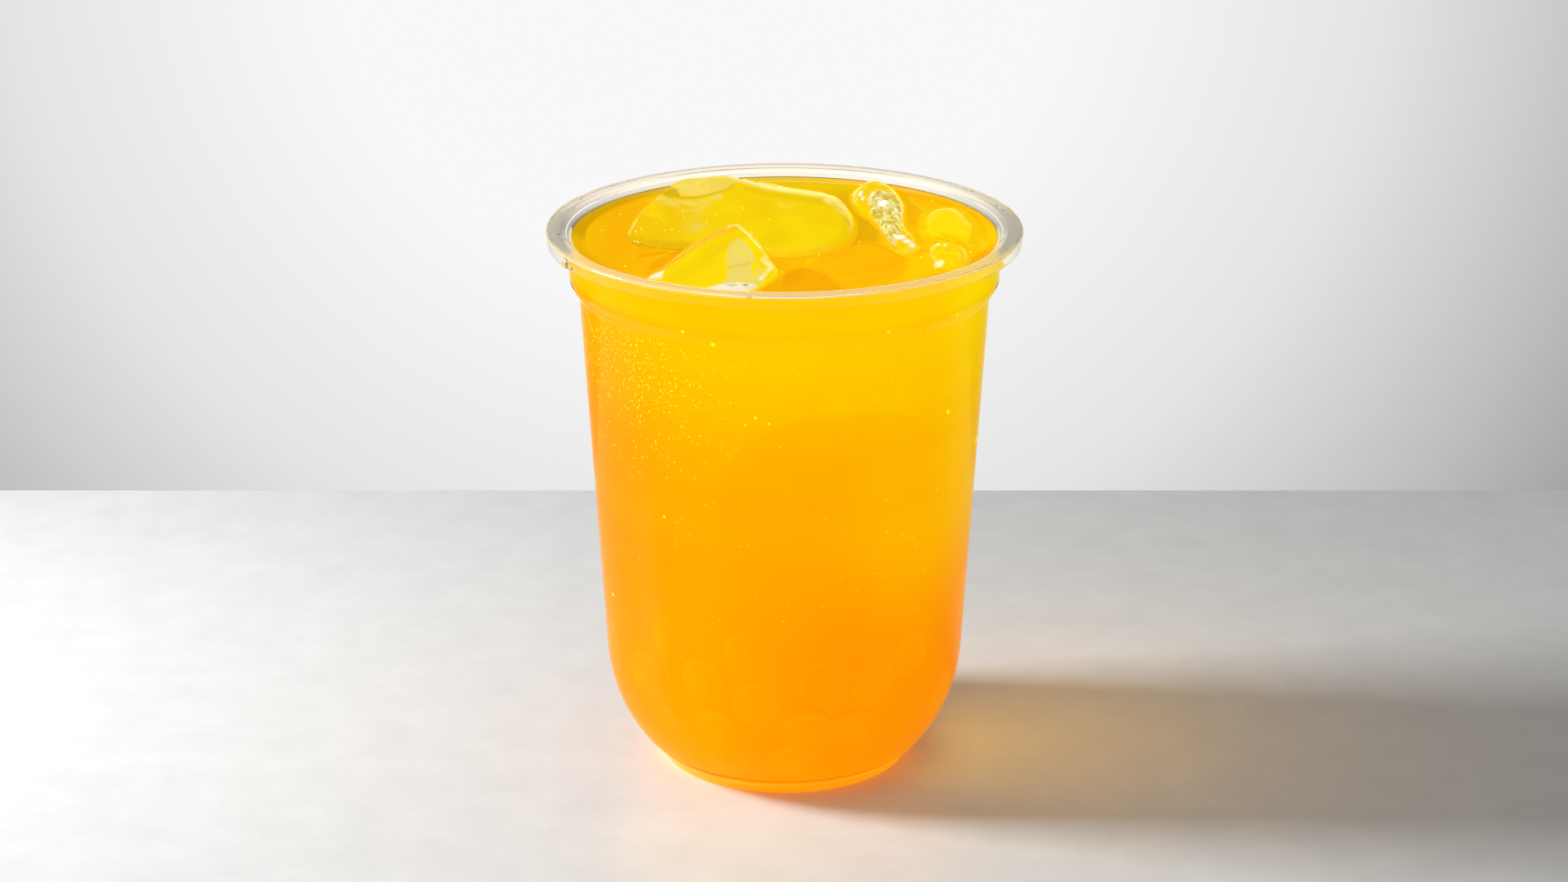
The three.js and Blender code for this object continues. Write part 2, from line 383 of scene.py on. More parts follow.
def build_cup():
    verts, faces = lathe(cup_profile(), 256)
    ob = mesh_object("cup_shell", verts, faces)
    kinds = (
        # name, colour, how clear, tint of its shine, IOR, roughness, painted glow colour and strength, standing in for
        # light scattered in the milky plastic and for the juice's light in the skirt and foot ring
        ("milky_plastic_rim", None, 0.82, (1.0, 0.98, 0.93), 1.34, 0.05, (1.0, 0.82, 0.55), 0.11),
        ("clear_plastic_wall", (1.0, 0.975, 0.40), 1.0, (1.0, 0.72, 0.06), 1.03, 0.02, (1.0, 1.0, 1.0), 0.0),
        ("clear_plastic_skirt", (0.99, 0.975, 0.94), 1.0, (1.0, 0.86, 0.55), 1.18, 0.03, (1.0, 0.93, 0.80), 0.05),
        ("foot_ring_lit_by_juice", (1.0, 0.42, 0.03), 0.35, (1.0, 0.8, 0.4), 1.2, 0.05, (1.0, 0.325, 0.002), 0.60),
    )
    for name, body, clear, tint, ior, rough, light, glow in kinds:
        n = Nodes(name)
        v = n.coords()
        wide = n.noise(v, 55, 2)
        if body is None:
            # painted shade: fine darker lines where the plastic turns, at the lip and along the outer edge, in place of
            # the dark lines refraction gives there, with a painted pale highlight band just inside the outer one
            sep = n.tree.nodes.new("ShaderNodeSeparateXYZ")
            n.link(v, sep.inputs[0])
            x2, y2 = n.math("MULTIPLY", sep.outputs[0], sep.outputs[0]), n.math("MULTIPLY", sep.outputs[1], sep.outputs[1])
            radius = n.math("SQRT", n.math("ADD", x2, y2))
            body = n.ramp(n.map_range(radius, 0.042, 0.048, 0.0, 1.0), [
                (0.0, (0.93, 0.87, 0.70)), (0.22, (0.95, 0.90, 0.78)), (0.40, (0.95, 0.90, 0.78)), (0.425, (0.84, 0.77, 0.63)),
                (0.455, (0.95, 0.88, 0.73)), (0.80, (0.95, 0.88, 0.73)), (0.845, (0.99, 0.97, 0.93)), (0.872, (0.62, 0.57, 0.47)),
                (0.90, (0.95, 0.93, 0.88)),
            ])
        elif name == "clear_plastic_skirt":
            # the drink behind the front of the skirt shows through it: painted yellow there, with a painted orange glow
            # for the juice's light
            sep = n.tree.nodes.new("ShaderNodeSeparateXYZ")
            n.link(v, sep.inputs[0])
            body = n.ramp(n.map_range(sep.outputs[1], -0.048, 0.0, 0.0, 1.0), [(0.0, (1.0, 0.93, 0.32)), (0.35, (1.0, 0.94, 0.42)), (0.7, body)])
            light = n.ramp(n.map_range(sep.outputs[1], -0.048, 0.0, 0.0, 1.0), [(0.0, (1.0, 0.62, 0.02)), (0.7, (1.0, 0.90, 0.74))])
        n.principled(
            Base_Color=body,
            Roughness=n.map_range(wide, 0.35, 0.7, rough, rough + 0.04),
            IOR=ior,
            Transmission_Weight=clear,
            Emission_Color=light,
            Emission_Strength=glow,
            Specular_Tint=tint,
            Normal=n.bump(wide, 0.05, 0.0004),
        )
        n.mat.cycles.emission_sampling = "NONE"
        ob.data.materials.append(n.mat)
    for poly in ob.data.polygons:
        c = poly.center / MM
        r = math.hypot(c.x, c.y)
        if c.z < 2.1 or (c.z < 2.9 and r > 25.0):
            kind = 3
        elif (r > 46.9 and c.z < HEIGHT - 0.75) or (r > 43.3 and c.z < HEIGHT - 0.7):
            kind = 2
        elif r > 42.0 and c.z > LEVEL + 0.02:
            kind = 0
        else:
            kind = 1
        poly.material_index = kind
    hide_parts("cup")
    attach(ob, "root")
    return ob


# ------------------------------------------------------------------ drawing on the surface
FLAT = 0.29     # how much shorter a step away from the viewer looks than one sideways


def step(a, b, x):
    t = np.clip((x - a) / (b - a), 0.0, 1.0)
    return t * t * (3 - 2 * t)


def to_line(x, y, line, closed=False, flat=1.0):
    """Distance of points (arrays, in millimetres) to a line through points."""
    best = np.full(np.shape(x), 1e9)
    pts = list(line) + ([line[0]] if closed else [])
    for (ax, ay), (bx, by) in zip(pts, pts[1:]):
        dx, dy = bx - ax, (by - ay) * flat
        px, py = x - ax, (y - ay) * flat
        t = np.clip((px * dx + py * dy) / (dx * dx + dy * dy), 0, 1)
        best = np.minimum(best, np.hypot(px - t * dx, py - t * dy))
    return best


def within(x, y, shape, flat=1.0):
    """Distance to a closed outline, more than 0 inside it."""
    odd = np.zeros(np.shape(x), bool)
    for (ax, ay), (bx, by) in zip(shape, shape[1:] + shape[:1]):
        if ay != by:
            odd ^= ((ay > y) != (by > y)) & (x < (bx - ax) * (y - ay) / (by - ay) + ax)
    d = to_line(x, y, shape, True, flat)
    return np.where(odd, d, -d)


def lit(r, g, b):
    return np.array(srgb(r, g, b)) / 0.97


def lay(colour, mask, rgb):
    colour += (lit(*rgb) - colour) * np.clip(mask, 0, 1)[:, None]


def area_of(x, y, shape, soft=0.3):
    return step(-soft, soft, within(x, y, shape, FLAT))


def stroke(x, y, line, width, soft=0.25):
    return 1 - step(width / 2 - soft / 2, width / 2 + soft, to_line(x, y, line, False, FLAT))


def set_glow(ob, colours):
    layer = ob.data.color_attributes.new("Glow", "FLOAT_COLOR", "POINT")
    rgba = np.ones((len(colours), 4))
    rgba[:, :3] = np.clip(colours, 0.0003, 1.08)
    layer.data.foreach_set("color", rgba.ravel())


def mottle(x, y, scale, seed):
    return np.array([noise.noise(Vector((a * scale, b * scale * 0.6, seed))) for a, b in zip(x, y)])


# ------------------------------------------------------------------ the ice
SLAB = [(-31.9, -2.0), (-31.4, 5.0), (-29.9, 12.6), (-27.7, 20.6), (-25.2, 27.4), (-23.4, 33.1), (-21.2, 35.6), (-16.8, 37.4),
        (-11.2, 38.6), (-8.3, 37.6), (-4.3, 36.6), (-0.1, 35.0), (4.1, 33.0), (8.3, 30.0), (11.4, 24.3), (13.5, 16.0),
        (14.6, 7.8), (14.3, -0.4), (12.7, -7.0), (9.4, -11.7), (4.7, -14.8), (-0.9, -15.9), (-9.7, -12.5),
        (-17.8, -10.2), (-22.7, -9.1), (-27.2, -7.4), (-30.2, -5.3)]
SLAB_LEFT = [p for p in SLAB if p[0] < -7.0 and p[1] > 0] + [(-7.0, 37.0), (-7.0, -13.5)] + [p for p in SLAB if p[0] < -7.0 and p[1] <= 0]
SLAB_RIGHT = [(-8.6, 37.6)] + [p for p in SLAB if p[0] > -8.4] + [(-8.6, -12.9)]
RIDGE = [(-11.1, 36.0), (-7.7, 32.4), (-4.3, 28.9), (-0.1, 26.2), (4.1, 24.3), (8.3, 21.9), (10.2, 19.1), (12.1, 13.1), (13.6, 5.9)]
BEHIND_RIDGE = RIDGE + [(15.5, 3.0), (18.0, 20.0), (12.0, 34.0), (0.0, 42.0), (-11.0, 42.0)]

WEDGE = [(-26.4, -32.4), (-23.6, -24.0), (-20.1, -13.2), (-16.7, -2.2), (-13.2, 6.0), (-11.3, 9.9), (-9.2, 8.3), (-7.3, 1.8),
         (-5.7, -3.4), (-4.2, -10.8), (-2.7, -18.7), (-1.2, -25.7), (-3.2, -32.1), (-5.4, -36.5), (-8.6, -38.4), (-12.5, -39.3),
         (-17.2, -38.6), (-22.2, -36.0)]
WEDGE_EDGE = [(-9.0, 0.6), (-11.4, -3.5), (-14.9, -9.9), (-18.4, -17.6), (-22.1, -26.5), (-25.4, -33.4)]

CRACKED = [(13.4, 28.4), (15.0, 34.4), (16.9, 37.4), (20.0, 37.4), (22.3, 34.8), (23.9, 28.6), (24.8, 20.8), (24.6, 12.3), (24.9, 4.0),
           (26.1, -0.7), (26.8, -7.2), (25.6, -12.0), (23.6, -12.9), (21.6, -10.3), (20.3, -4.3), (18.9, 3.6), (17.0, 10.5), (15.1, 15.5), (13.9, 21.4)]
ROUND_LUMP = [(27.0, 11.9), (28.5, 17.3), (31.4, 20.1), (34.9, 20.1), (37.0, 17.0), (38.6, 11.1), (39.5, 4.0), (38.7, -3.6),
              (36.6, -9.0), (33.2, -9.4), (29.7, -8.2), (27.6, -3.0), (26.8, 4.2)]
SMALL_LUMP = [(28.2, -12.0), (29.0, -7.2), (31.4, -5.9), (34.1, -7.4), (35.9, -10.6), (36.4, -15.9), (35.6, -21.6), (34.0, -26.2),
              (31.3, -26.0), (29.2, -21.8)]


def slab_height(x, y):
    """Height of the big slab over the drink: two shallow facets with a ridge between them."""
    beyond = to_line(x, y, RIDGE) * np.where(within(x, y, BEHIND_RIDGE) > 0, 1, 0)
    main = 1.62 - 0.017 * (26 - y) - 0.012 * np.maximum(-8 - x, 0) - 0.0011 * (x - 2) ** 2 * (x > 2)
    cheek = 1.25 - 0.085 * np.maximum(-22 - x, 0) + 0.01 * y
    back_left = 1.5 + 0.05 * (y - 24)
    h = np.minimum(main, cheek)
    h = np.maximum(h, np.minimum(back_left, 1.75) * area_of(x, y, [(-21.4, 22.8), (-24.0, 31.0), (-21.0, 36.5), (-9.0, 38.0), (-10.7, 30.3), (-15.2, 24.4)], 0.5))
    return h - 0.20 * beyond + 0.12 * np.exp(-(to_line(x, y, RIDGE) / 0.8) ** 2)


def slab_colour(x, y, z):
    c = np.tile(lit(244, 207, 3), (len(x), 1))
    wide, fine = mottle(x, y, 0.13, 3.0), mottle(x, y, 0.5, 9.0)
    lay(c, step(-14, -26, x) * 0.9, (240, 193, 4))
    lay(c, step(8, -8, y) * step(-24, -6, x) * 0.8, (246, 214, 4))
    lay(c, step(0.1, 0.5, wide) * 0.5, (250, 216, 6))
    lay(c, step(0.0, -0.5, wide) * 0.5, (238, 197, 3))
    lay(c, area_of(x, y, BEHIND_RIDGE, 0.5), (236, 205, 10))
    # the broken white facet at the back left, a painted reflection of the bright backdrop, its notch, and the pale
    # crescent under it
    lay(c, area_of(x, y, [(-21.6, 22.0), (-23.4, 29.0), (-21.3, 36.5), (-9.4, 38.2), (-10.7, 30.6), (-12.2, 27.2), (-15.2, 23.8)], 0.3) * (0.86 + 0.5 * fine), (243, 217, 98))
    lay(c, area_of(x, y, [(-15.0, 25.5), (-16.0, 36.0), (-9.0, 37.0), (-10.5, 31.0)], 0.8) * 0.7, (238, 208, 70))
    lay(c, area_of(x, y, [(-25.2, 25.5), (-23.4, 29.6), (-22.0, 27.2), (-21.2, 21.8), (-23.7, 22.0)], 0.2), (214, 178, 12))
    lay(c, stroke(x, y, [(-21.6, 21.8), (-18.0, 21.6), (-15.2, 23.6), (-12.0, 27.2), (-10.3, 31.0)], 0.4) * 0.7, (214, 182, 8))
    lay(c, stroke(x, y, [(-26.0, 22.9), (-24.1, 19.2), (-21.7, 17.2), (-18.4, 16.6), (-15.7, 18.6), (-13.5, 22.6)], 0.9, 0.8) * (0.55 + fine), (240, 214, 90))
    lay(c, np.exp(-(((x + 18.3) / 2.2) ** 2 + ((y - 13.5) / 4.5) ** 2)) * (0.45 + 1.2 * fine), (240, 212, 80))
    lay(c, np.exp(-(((x + 17.7) / 2.0) ** 2 + ((y - 1.5) / 3.4) ** 2)) * (0.6 + 1.0 * fine), (236, 206, 84))
    lay(c, np.exp(-(((x + 0.1) / 1.8) ** 2 + ((y - 15.8) / 3.0) ** 2)) * (0.3 + 0.9 * fine), (250, 220, 60))
    # the ridge catches the light: a painted highlight along it and on the right edge, with painted shade just in front
    # of it
    lay(c, stroke(x, y, [(px, py - 4.0) for px, py in RIDGE[1:]], 0.8, 0.7) * 0.55, (226, 190, 4))
    lay(c, stroke(x, y, RIDGE, 0.55, 0.25) * (0.95 + 0.3 * fine), (251, 222, 118))
    lay(c, stroke(x, y, [(7.6, 21.0), (10.2, 15.6), (12.4, 9.0)], 0.5, 0.6) * (0.5 + 1.2 * fine), (250, 226, 110))
    lay(c, stroke(x, y, [(13.0, 12.0), (14.3, 4.5)], 0.5, 0.4) * 0.6, (252, 226, 90))
    # front face, under the edge, and the soft end at the right, which runs into the drink
    lay(c, step(2.6, 0.2, within(x, y, SLAB, 1.0)) * step(-10, -4, x) * step(20, 4, y), (251, 196, 3))
    lay(c, step(2.6, 0.5, within(x, y, SLAB, 1.0)) * step(-10, 0, -y) * step(-2, -16, x), (225, 179, 2))
    return c


def wedge_height(x, y):
    from_edge = to_line(x, y, WEDGE_EDGE)
    left = x < np.interp(y, [p[1] for p in WEDGE_EDGE[::-1]], [p[0] for p in WEDGE_EDGE[::-1]])
    along = np.clip((y + 34) / 34, 0, 1)
    top = 1.05 + 0.85 * along
    fall = np.where(left, 0.30 * from_edge + 0.10 * np.sin(from_edge * 4.2), 0.028 * from_edge)
    right = 1.9 + 0.42 * to_line(x, y, [(-8.6, 3.0), (-6.4, -5.0), (-4.4, -14.0), (-2.6, -25.5), (-5.6, -34.0)]) - 0.9
    return np.minimum(top - fall, right)


def wedge_colour(x, y, z):
    c = np.tile(lit(250, 216, 4), (len(x), 1))
    fine = mottle(x, y, 0.6, 5.0)
    line_x = np.interp(y, [p[1] for p in WEDGE_EDGE[::-1]], [p[0] for p in WEDGE_EDGE[::-1]])
    away = x - line_x                      # how far to the right of the edge, in millimetres
    lay(c, step(0, 5, away) * step(9, 4, away) * 0.6, (240, 204, 4))
    lay(c, step(-30, -18, y) * step(5, 8, away) * step(13, 10, away) * 0.8, (255, 224, 4))
    ripple = 0.5 + 0.5 * np.sin((x * 1.0 - 0.10 * y) * 6.6)
    lay(c, ripple * step(-30, -22, y) * step(0, -10, y) * step(-17.0, -15.5, x) * step(-10.5, -12, x) * 0.5, (236, 202, 4))
    # the steep side to the left of the edge, with its parallel steps
    side = step(0.25, -0.15, away)
    lay(c, side, (247, 184, 1))
    lay(c, side * step(0.2, 0.9, np.sin(away * 3.3 + 0.4)), (238, 164, 1))
    lay(c, side * step(0.5, 1.0, np.sin(away * 3.3 + 3.0)) * 0.6, (253, 203, 6))
    lay(c, np.exp(-(away / 0.35) ** 2) * 0.5, (230, 176, 4))
    lay(c, step(2.2, 0.6, away) * step(0.2, 0.5, away) * step(-10, 0, y), (246, 176, 8))
    # the pale right-hand face
    pale = area_of(x, y, [(-10.7, -12.5), (-9.3, -8.6), (-7.8, -10.3), (-6.4, -16.5), (-5.2, -24.2), (-3.6, -29.7), (-5.4, -37.0), (-11.4, -38.6), (-10.9, -30.0), (-11.3, -20.0)], 0.4)
    lay(c, pale * (0.75 + 0.5 * fine), (234, 214, 112))
    lay(c, pale * stroke(x, y, [(-11.0, -26.5), (-8.0, -24.5), (-5.6, -22.0)], 0.3, 0.3) * 0.5, (214, 190, 70))
    lay(c, area_of(x, y, [(-6.6, -20.0), (-5.0, -25.0), (-5.2, -31.0), (-6.2, -28.0)], 0.3), (255, 221, 10))
    # painted glints along the right-hand edges
    lay(c, stroke(x, y, [(-7.4, -1.0), (-6.6, -6.5), (-4.9, -13.0), (-2.4, -25.5)], 0.4, 0.35) * (0.55 + 1.1 * fine), (249, 234, 150))
    lay(c, stroke(x, y, [(-4.2, -21.0), (-2.6, -25.5), (-4.6, -33.0)], 0.5, 0.35) * (0.5 + 1.2 * fine), (252, 238, 170))
    # the small white facet that faces the viewer, a painted reflection, and the left tip, a painted glint
    white = area_of(x, y, [(-15.0, -39.2), (-11.8, -36.0), (-8.7, -35.0), (-5.3, -35.8), (-7.5, -38.2), (-9.8, -40.0)], 0.22)
    lay(c, white, (250, 238, 206))
    lay(c, white * np.exp(-(((x + 10.0) / 1.0) ** 2 + ((y + 36.6) / 0.9) ** 2)) * 0.8, (196, 186, 150))
    lay(c, white * np.exp(-(((x + 7.4) / 0.5) ** 2 + ((y + 36.4) / 0.6) ** 2)), (120, 112, 80))
    lay(c, area_of(x, y, [(-26.4, -32.8), (-24.7, -30.2), (-23.1, -29.0), (-23.6, -33.4)], 0.3), (255, 249, 205))
    return c


def cracked_height(x, y):
    rough = mottle(x, y, 0.55, 21.0) + 0.6 * mottle(x, y, 1.3, 4.0)
    pale = area_of(x, y, CRACKED_PALE, 0.5)
    return 0.35 + 0.45 * pale + 0.022 * (y + 4) - 0.001 * np.maximum(y - 20, 0) ** 2 + 0.65 * rough * (0.25 + pale)


CRACKED_PALE = [(17.1, 22.8), (19.4, 27.4), (21.7, 26.8), (24.1, 21.4), (24.0, 13.1), (23.0, 7.1), (22.8, -1.1), (21.5, -9.0), (20.3, -2.1), (19.1, 6.1), (17.6, 12.6)]


def cracked_colour(x, y, z):
    c = np.tile(lit(248, 204, 4), (len(x), 1))
    a, b = mottle(x, y, 0.8, 31.0), mottle(x, y, 1.9, 44.0)
    lay(c, step(14, 30, y) * 0.8, (240, 206, 10))
    lay(c, step(0.05, 0.35, a) * 0.6, (255, 214, 8))
    lay(c, step(1.3, 0.1, within(x, y, CRACKED, FLAT)) * step(32, 16, y), (251, 200, 2))
    pale = area_of(x, y, CRACKED_PALE, 0.45)
    lay(c, pale * 0.8, (212, 196, 84))
    lay(c, pale * step(0.0, 0.3, a + 0.5 * b), (234, 222, 140))
    lay(c, pale * step(0.12, 0.3, b), (244, 238, 190))
    lay(c, pale * step(0.05, 0.3, -a - 0.3 * b) * 0.9, (206, 168, 16))
    # painted glints: near-white spots where the cracked ice sparkles
    for gx, gy, w, d in ((20.0, 18.2, 1.1, 2.2), (23.0, -3.4, 1.0, 1.5), (24.2, -6.2, 0.7, 1.4), (25.2, -8.6, 0.6, 1.4), (22.2, -4.2, 0.6, 1.2),
                         (15.6, 26.0, 0.35, 1.6), (16.0, 22.6, 0.35, 1.2), (22.6, 13.6, 0.3, 1.4), (18.0, 24.6, 0.3, 1.2), (17.2, 35.4, 0.3, 0.8)):
        lay(c, step(1.3, 0.6, np.hypot((x - gx) / w, (y - gy) / d)), (255, 252, 236))
    lay(c, stroke(x, y, [(14.0, 30.0), (15.0, 27.0), (14.2, 23.0)], 0.3, 0.3) * 0.7, (226, 208, 80))
    lay(c, stroke(x, y, [(21.0, -11.0), (24.0, -12.4), (26.6, -9.0)], 0.5, 0.5) * 0.7, (252, 226, 60))
    return c


def round_colour(x, y, z):
    c = np.tile(lit(254, 218, 5), (len(x), 1))
    d = within(x, y, ROUND_LUMP, FLAT) + 0.9 * mottle(x, y, 0.22, 5.0) + 0.5 * mottle(x, y, 0.6, 7.0)
    lay(c, step(2.4, 0.4, d), (254, 205, 2))
    for line, rgb in (([(28.2, 17.0), (30.4, 11.0), (29.6, 4.0)], (250, 206, 40)), ([(36.0, 14.0), (38.0, 6.0), (37.4, -2.0)], (246, 190, 3)),
                      ([(31.0, -1.0), (34.0, -4.6), (37.6, -4.0)], (248, 190, 2)), ([(29.0, 8.0), (31.5, 15.0), (35.0, 17.6)], (255, 226, 40))):
        lay(c, stroke(x, y, line, 0.3, 0.5) * 0.6, rgb)
    lay(c, stroke(x, y, [(30.0, -3.0), (33.0, -7.0), (37.5, -6.0)], 0.25, 0.3) * 0.6, (240, 178, 2))
    lay(c, step(0.1, 0.4, mottle(x, y, 0.35, 8.0)) * 0.4, (255, 226, 20))
    return c


def small_colour(x, y, z):
    c = np.tile(lit(253, 207, 4), (len(x), 1))
    lay(c, step(0.0, 0.3, mottle(x, y, 0.6, 2.0)) * 0.7, (255, 222, 10))
    lay(c, step(0.5, 0.1, within(x, y, SMALL_LUMP, FLAT)), (253, 200, 2))
    # painted glints along the left and back edges
    lay(c, stroke(x, y, [(28.9, -9.5), (28.6, -14.0), (29.6, -20.5)], 0.3, 0.3) * 0.7, (254, 230, 100))
    lay(c, stroke(x, y, [(29.0, -8.6), (31.4, -7.0), (34.0, -8.6), (35.6, -11.4)], 0.22, 0.3) * 0.6, (254, 226, 70))
    lay(c, stroke(x, y, [(34.6, -13.0), (34.5, -20.5)], 0.3, 0.3) * 0.6, (230, 196, 40))
    # painted glint spots
    for gx, gy, w, d in ((29.9, -21.0, 1.0, 1.6), (30.2, -9.2, 0.4, 0.8), (31.6, -9.6, 0.3, 0.8)):
        lay(c, step(1.3, 0.6, np.hypot((x - gx) / w, (y - gy) / d)), (255, 248, 190))
    return c


FLOES = {
    # outline, middle, height over the drink, width of its rounded edge, colour
    "ice_1": (SLAB_LEFT, (-18.5, 13.0), slab_height, slab_colour, SLAB, 0.9),
    "ice_2": (SLAB_RIGHT, (1.0, 10.0), slab_height, slab_colour, SLAB, 0.9),
    "ice_3": (WEDGE, (-11.5, -20.0), wedge_height, wedge_colour, WEDGE, 0.7),
    "ice_4": (CRACKED, (21.5, 8.0), cracked_height, cracked_colour, CRACKED, 2.0),
    "ice_5": (ROUND_LUMP, (33.0, 5.5), lambda x, y: 0.42 - 0.003 * ((x - 33) ** 2 + 0.2 * (y - 6) ** 2), round_colour, ROUND_LUMP, 4.0),
    "ice_6": (SMALL_LUMP, (32.4, -15.0), lambda x, y: 0.55 - 0.004 * ((x - 32.4) ** 2 + 0.3 * (y + 15) ** 2), small_colour, SMALL_LUMP, 1.8),
}


def rounded(shape, steps=7):
    """A closed outline with a smooth line through its points."""
    pts = [Vector(p) for p in shape]
    dense = []
    n = len(pts)
    for i in range(n):
        a, b, c, d = pts[i - 1], pts[i], pts[(i + 1) % n], pts[(i + 2) % n]
        for k in range(steps):
            t = k / steps
            dense.append(0.5 * ((2 * b) + (c - a) * t + (2 * a - 5 * b + 4 * c - d) * t * t + (3 * b - a - 3 * c + d) * t ** 3))
    return dense


def floe_outline(shape, centre, segments):
    """How far the outline is from the middle, at each turn."""
    dense = rounded(shape)
    turn = np.array([math.atan2(p.y - centre[1], p.x - centre[0]) for p in dense])
    far = np.array([math.hypot(p.y - centre[1], p.x - centre[0]) for p in dense])
    order = np.argsort(turn)
    angles = -math.pi + 2 * math.pi * (np.arange(segments) + 0.5) / segments
    return angles, np.interp(angles, turn[order], far[order], period=2 * math.pi)


def build_ice(name, material):
    """A floating lump: its top is shaped in full, its sides go down into the cloudy drink."""
    shape, centre, height, colour, whole, edge = FLOES[name]
    segments, rings = (240, 84) if name in ("ice_1", "ice_2", "ice_3") else (170, 54)
    angles, far = floe_outline(shape, centre, segments)
    t = (np.arange(rings) + 1) / rings
    part = 1 - (1 - t) ** 1.7
    x = [np.array([centre[0]])] + [centre[0] + far * p * np.cos(angles) for p in part]
    y = [np.array([centre[1]])] + [centre[1] + far * p * np.sin(angles) for p in part]
    x, y = np.concatenate(x), np.concatenate(y)
    keep = np.minimum(1.0, 42.0 / np.maximum(np.hypot(x, y), 1e-6))
    x, y = x * keep, y * keep
    inside = within(x, y, [tuple(p) for p in rounded(whole)])
    if name in ("ice_1", "ice_2"):
        edge = 0.9 + 0.9 * step(14, 4, y) + 1.6 * step(-8, 2, x) * step(18, 4, y)
    rise = step(0.0, edge, inside) ** 0.7
    bumpy = 0.05 * mottle(x, y, 0.45, 1.0) + 0.05 * mottle(x, y, 0.16, 2.0)
    z = LEVEL - 0.5 + (np.maximum(height(x, y), 0.1) + 0.5 + bumpy) * rise
    tops = len(x)
    # down the sides and across the bottom
    for share, down in ((1.0, 1.6), (0.985, 3.0), (0.94, 5.0), (0.80, 7.0), (0.45, 7.8)):
        x = np.concatenate([x, centre[0] + (x[tops - segments:tops] - centre[0]) * share])
        y = np.concatenate([y, centre[1] + (y[tops - segments:tops] - centre[1]) * share])
        z = np.concatenate([z, np.full(segments, LEVEL - down)])
    x, y, z = np.append(x, centre[0]), np.append(y, centre[1]), np.append(z, LEVEL - 8.0)
    verts = np.stack([x, y, z], 1)
    total = rings + 5
    faces = [(0, 1 + s, 1 + (s + 1) % segments) for s in range(segments)]
    for r in range(total - 1):
        a, b = 1 + r * segments, 1 + (r + 1) * segments
        faces += [(a + s, b + s, b + (s + 1) % segments, a + (s + 1) % segments) for s in range(segments)]
    last, end = 1 + (total - 1) * segments, len(verts) - 1
    faces += [(last + (s + 1) % segments, last + s, end) for s in range(segments)]
    ob = mesh_object(name + "_lump", verts * MM, faces)
    # the drink takes a little of the light of what it covers
    set_glow(ob, colour(x, y, z) * np.where(z < LEVEL, 1.08, 1.0)[:, None])
    ob.data.materials.append(material)
    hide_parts(name)
    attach(ob, "root")
    return ob


def lump_mesh(facets, power, steps):
    """A convex faceted lump with rounded edges, as a grid on a cube pushed out to its facets."""
    planes = [(facet_normal(t, e), d) for t, e, d in facets]
    seen, pts, faces = {}, [], []
    for axis in range(3):
        for sign in (-1, 1):
            grid = {}
            for i in range(steps + 1):
                for j in range(steps + 1):
                    c = [0.0, 0.0, 0.0]
                    c[axis] = sign
                    c[(axis + 1) % 3] = math.tan((-1 + 2 * i / steps) * math.pi / 4)
                    c[(axis + 2) % 3] = math.tan((-1 + 2 * j / steps) * math.pi / 4)
                    key = tuple(round(x, 5) for x in c)
                    if key not in seen:
                        seen[key] = len(pts)
                        v = Vector(c).normalized()
                        total = sum((max(n.dot(v), 0.0) / d) ** power for n, d in planes)
                        pts.append(v * total ** (-1 / power))
                    grid[i, j] = seen[key]
            for i in range(steps):
                for j in range(steps):
                    q = (grid[i, j], grid[i + 1, j], grid[i + 1, j + 1], grid[i, j + 1])
                    faces.append(q if sign > 0 else q[::-1])
    return pts, faces


def facet_normal(turn, lift):
    a, e = math.radians(turn), math.radians(lift)
    return Vector((math.cos(e) * math.cos(a), math.cos(e) * math.sin(a), math.sin(e)))


def keep_inside(v, inset=3.9):
    """Pulls a point (in millimetres) in until it is clear of the cup's wall, under the shoulder."""
    if v.z < 104.5:
        most = table(INSIDE_LINE, v.z) - inset
        r = math.hypot(v.x, v.y)
        if r > most:
            v = Vector((v.x * most / r, v.y * most / r, v.z))
    return v


INSIDE_LINE = [(q[1], q[0]) for q in side(0)]


# ------------------------------------------------------------------ the drink
def drink_profile():
    inset = WALL - 0.18            # reaches just into the wall
    pts = stand_on_floor(side(inset), inset)
    for k in range(1, 8):
        z = STEP_TOP + (LEVEL - 0.5 - STEP_TOP) * k / 7
        pts.append((COLLAR_BOTTOM_RADIUS - inset + 0.05, z))
    edge = MOUTH_RADIUS + 0.12
    pts += [(edge, LEVEL + 0.16), (edge - 0.35, LEVEL + 0.07), (edge - 0.8, LEVEL + 0.02), (edge - 1.6, LEVEL)]
    r = edge - 1.6
    pts += [(r * k / 24, LEVEL) for k in range(23, -1, -1)]
    return pts


def build_drink():
    verts, faces = lathe(drink_profile(), 192)
    ob = mesh_object("drink_liquid", verts, faces)
    n = Nodes("juice")
    v = n.coords()
    ripple = n.noise(v, 60, 2)
    n.principled(
        Base_Color=(1.0, 0.98, 0.9),
        Roughness=0.0,
        IOR=1.17,
        Transmission_Weight=1.0,
        Specular_Tint=(1.0, 0.75, 0.1),
        Normal=n.bump(ripple, 0.05, 0.0005),
    )
    n.absorb((1.0, 0.968, 0.02), 800.0)
    ob.data.materials.append(n.mat)
    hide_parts("drink")
    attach(ob, "root")
    return ob


CORE_TOP = 109.3


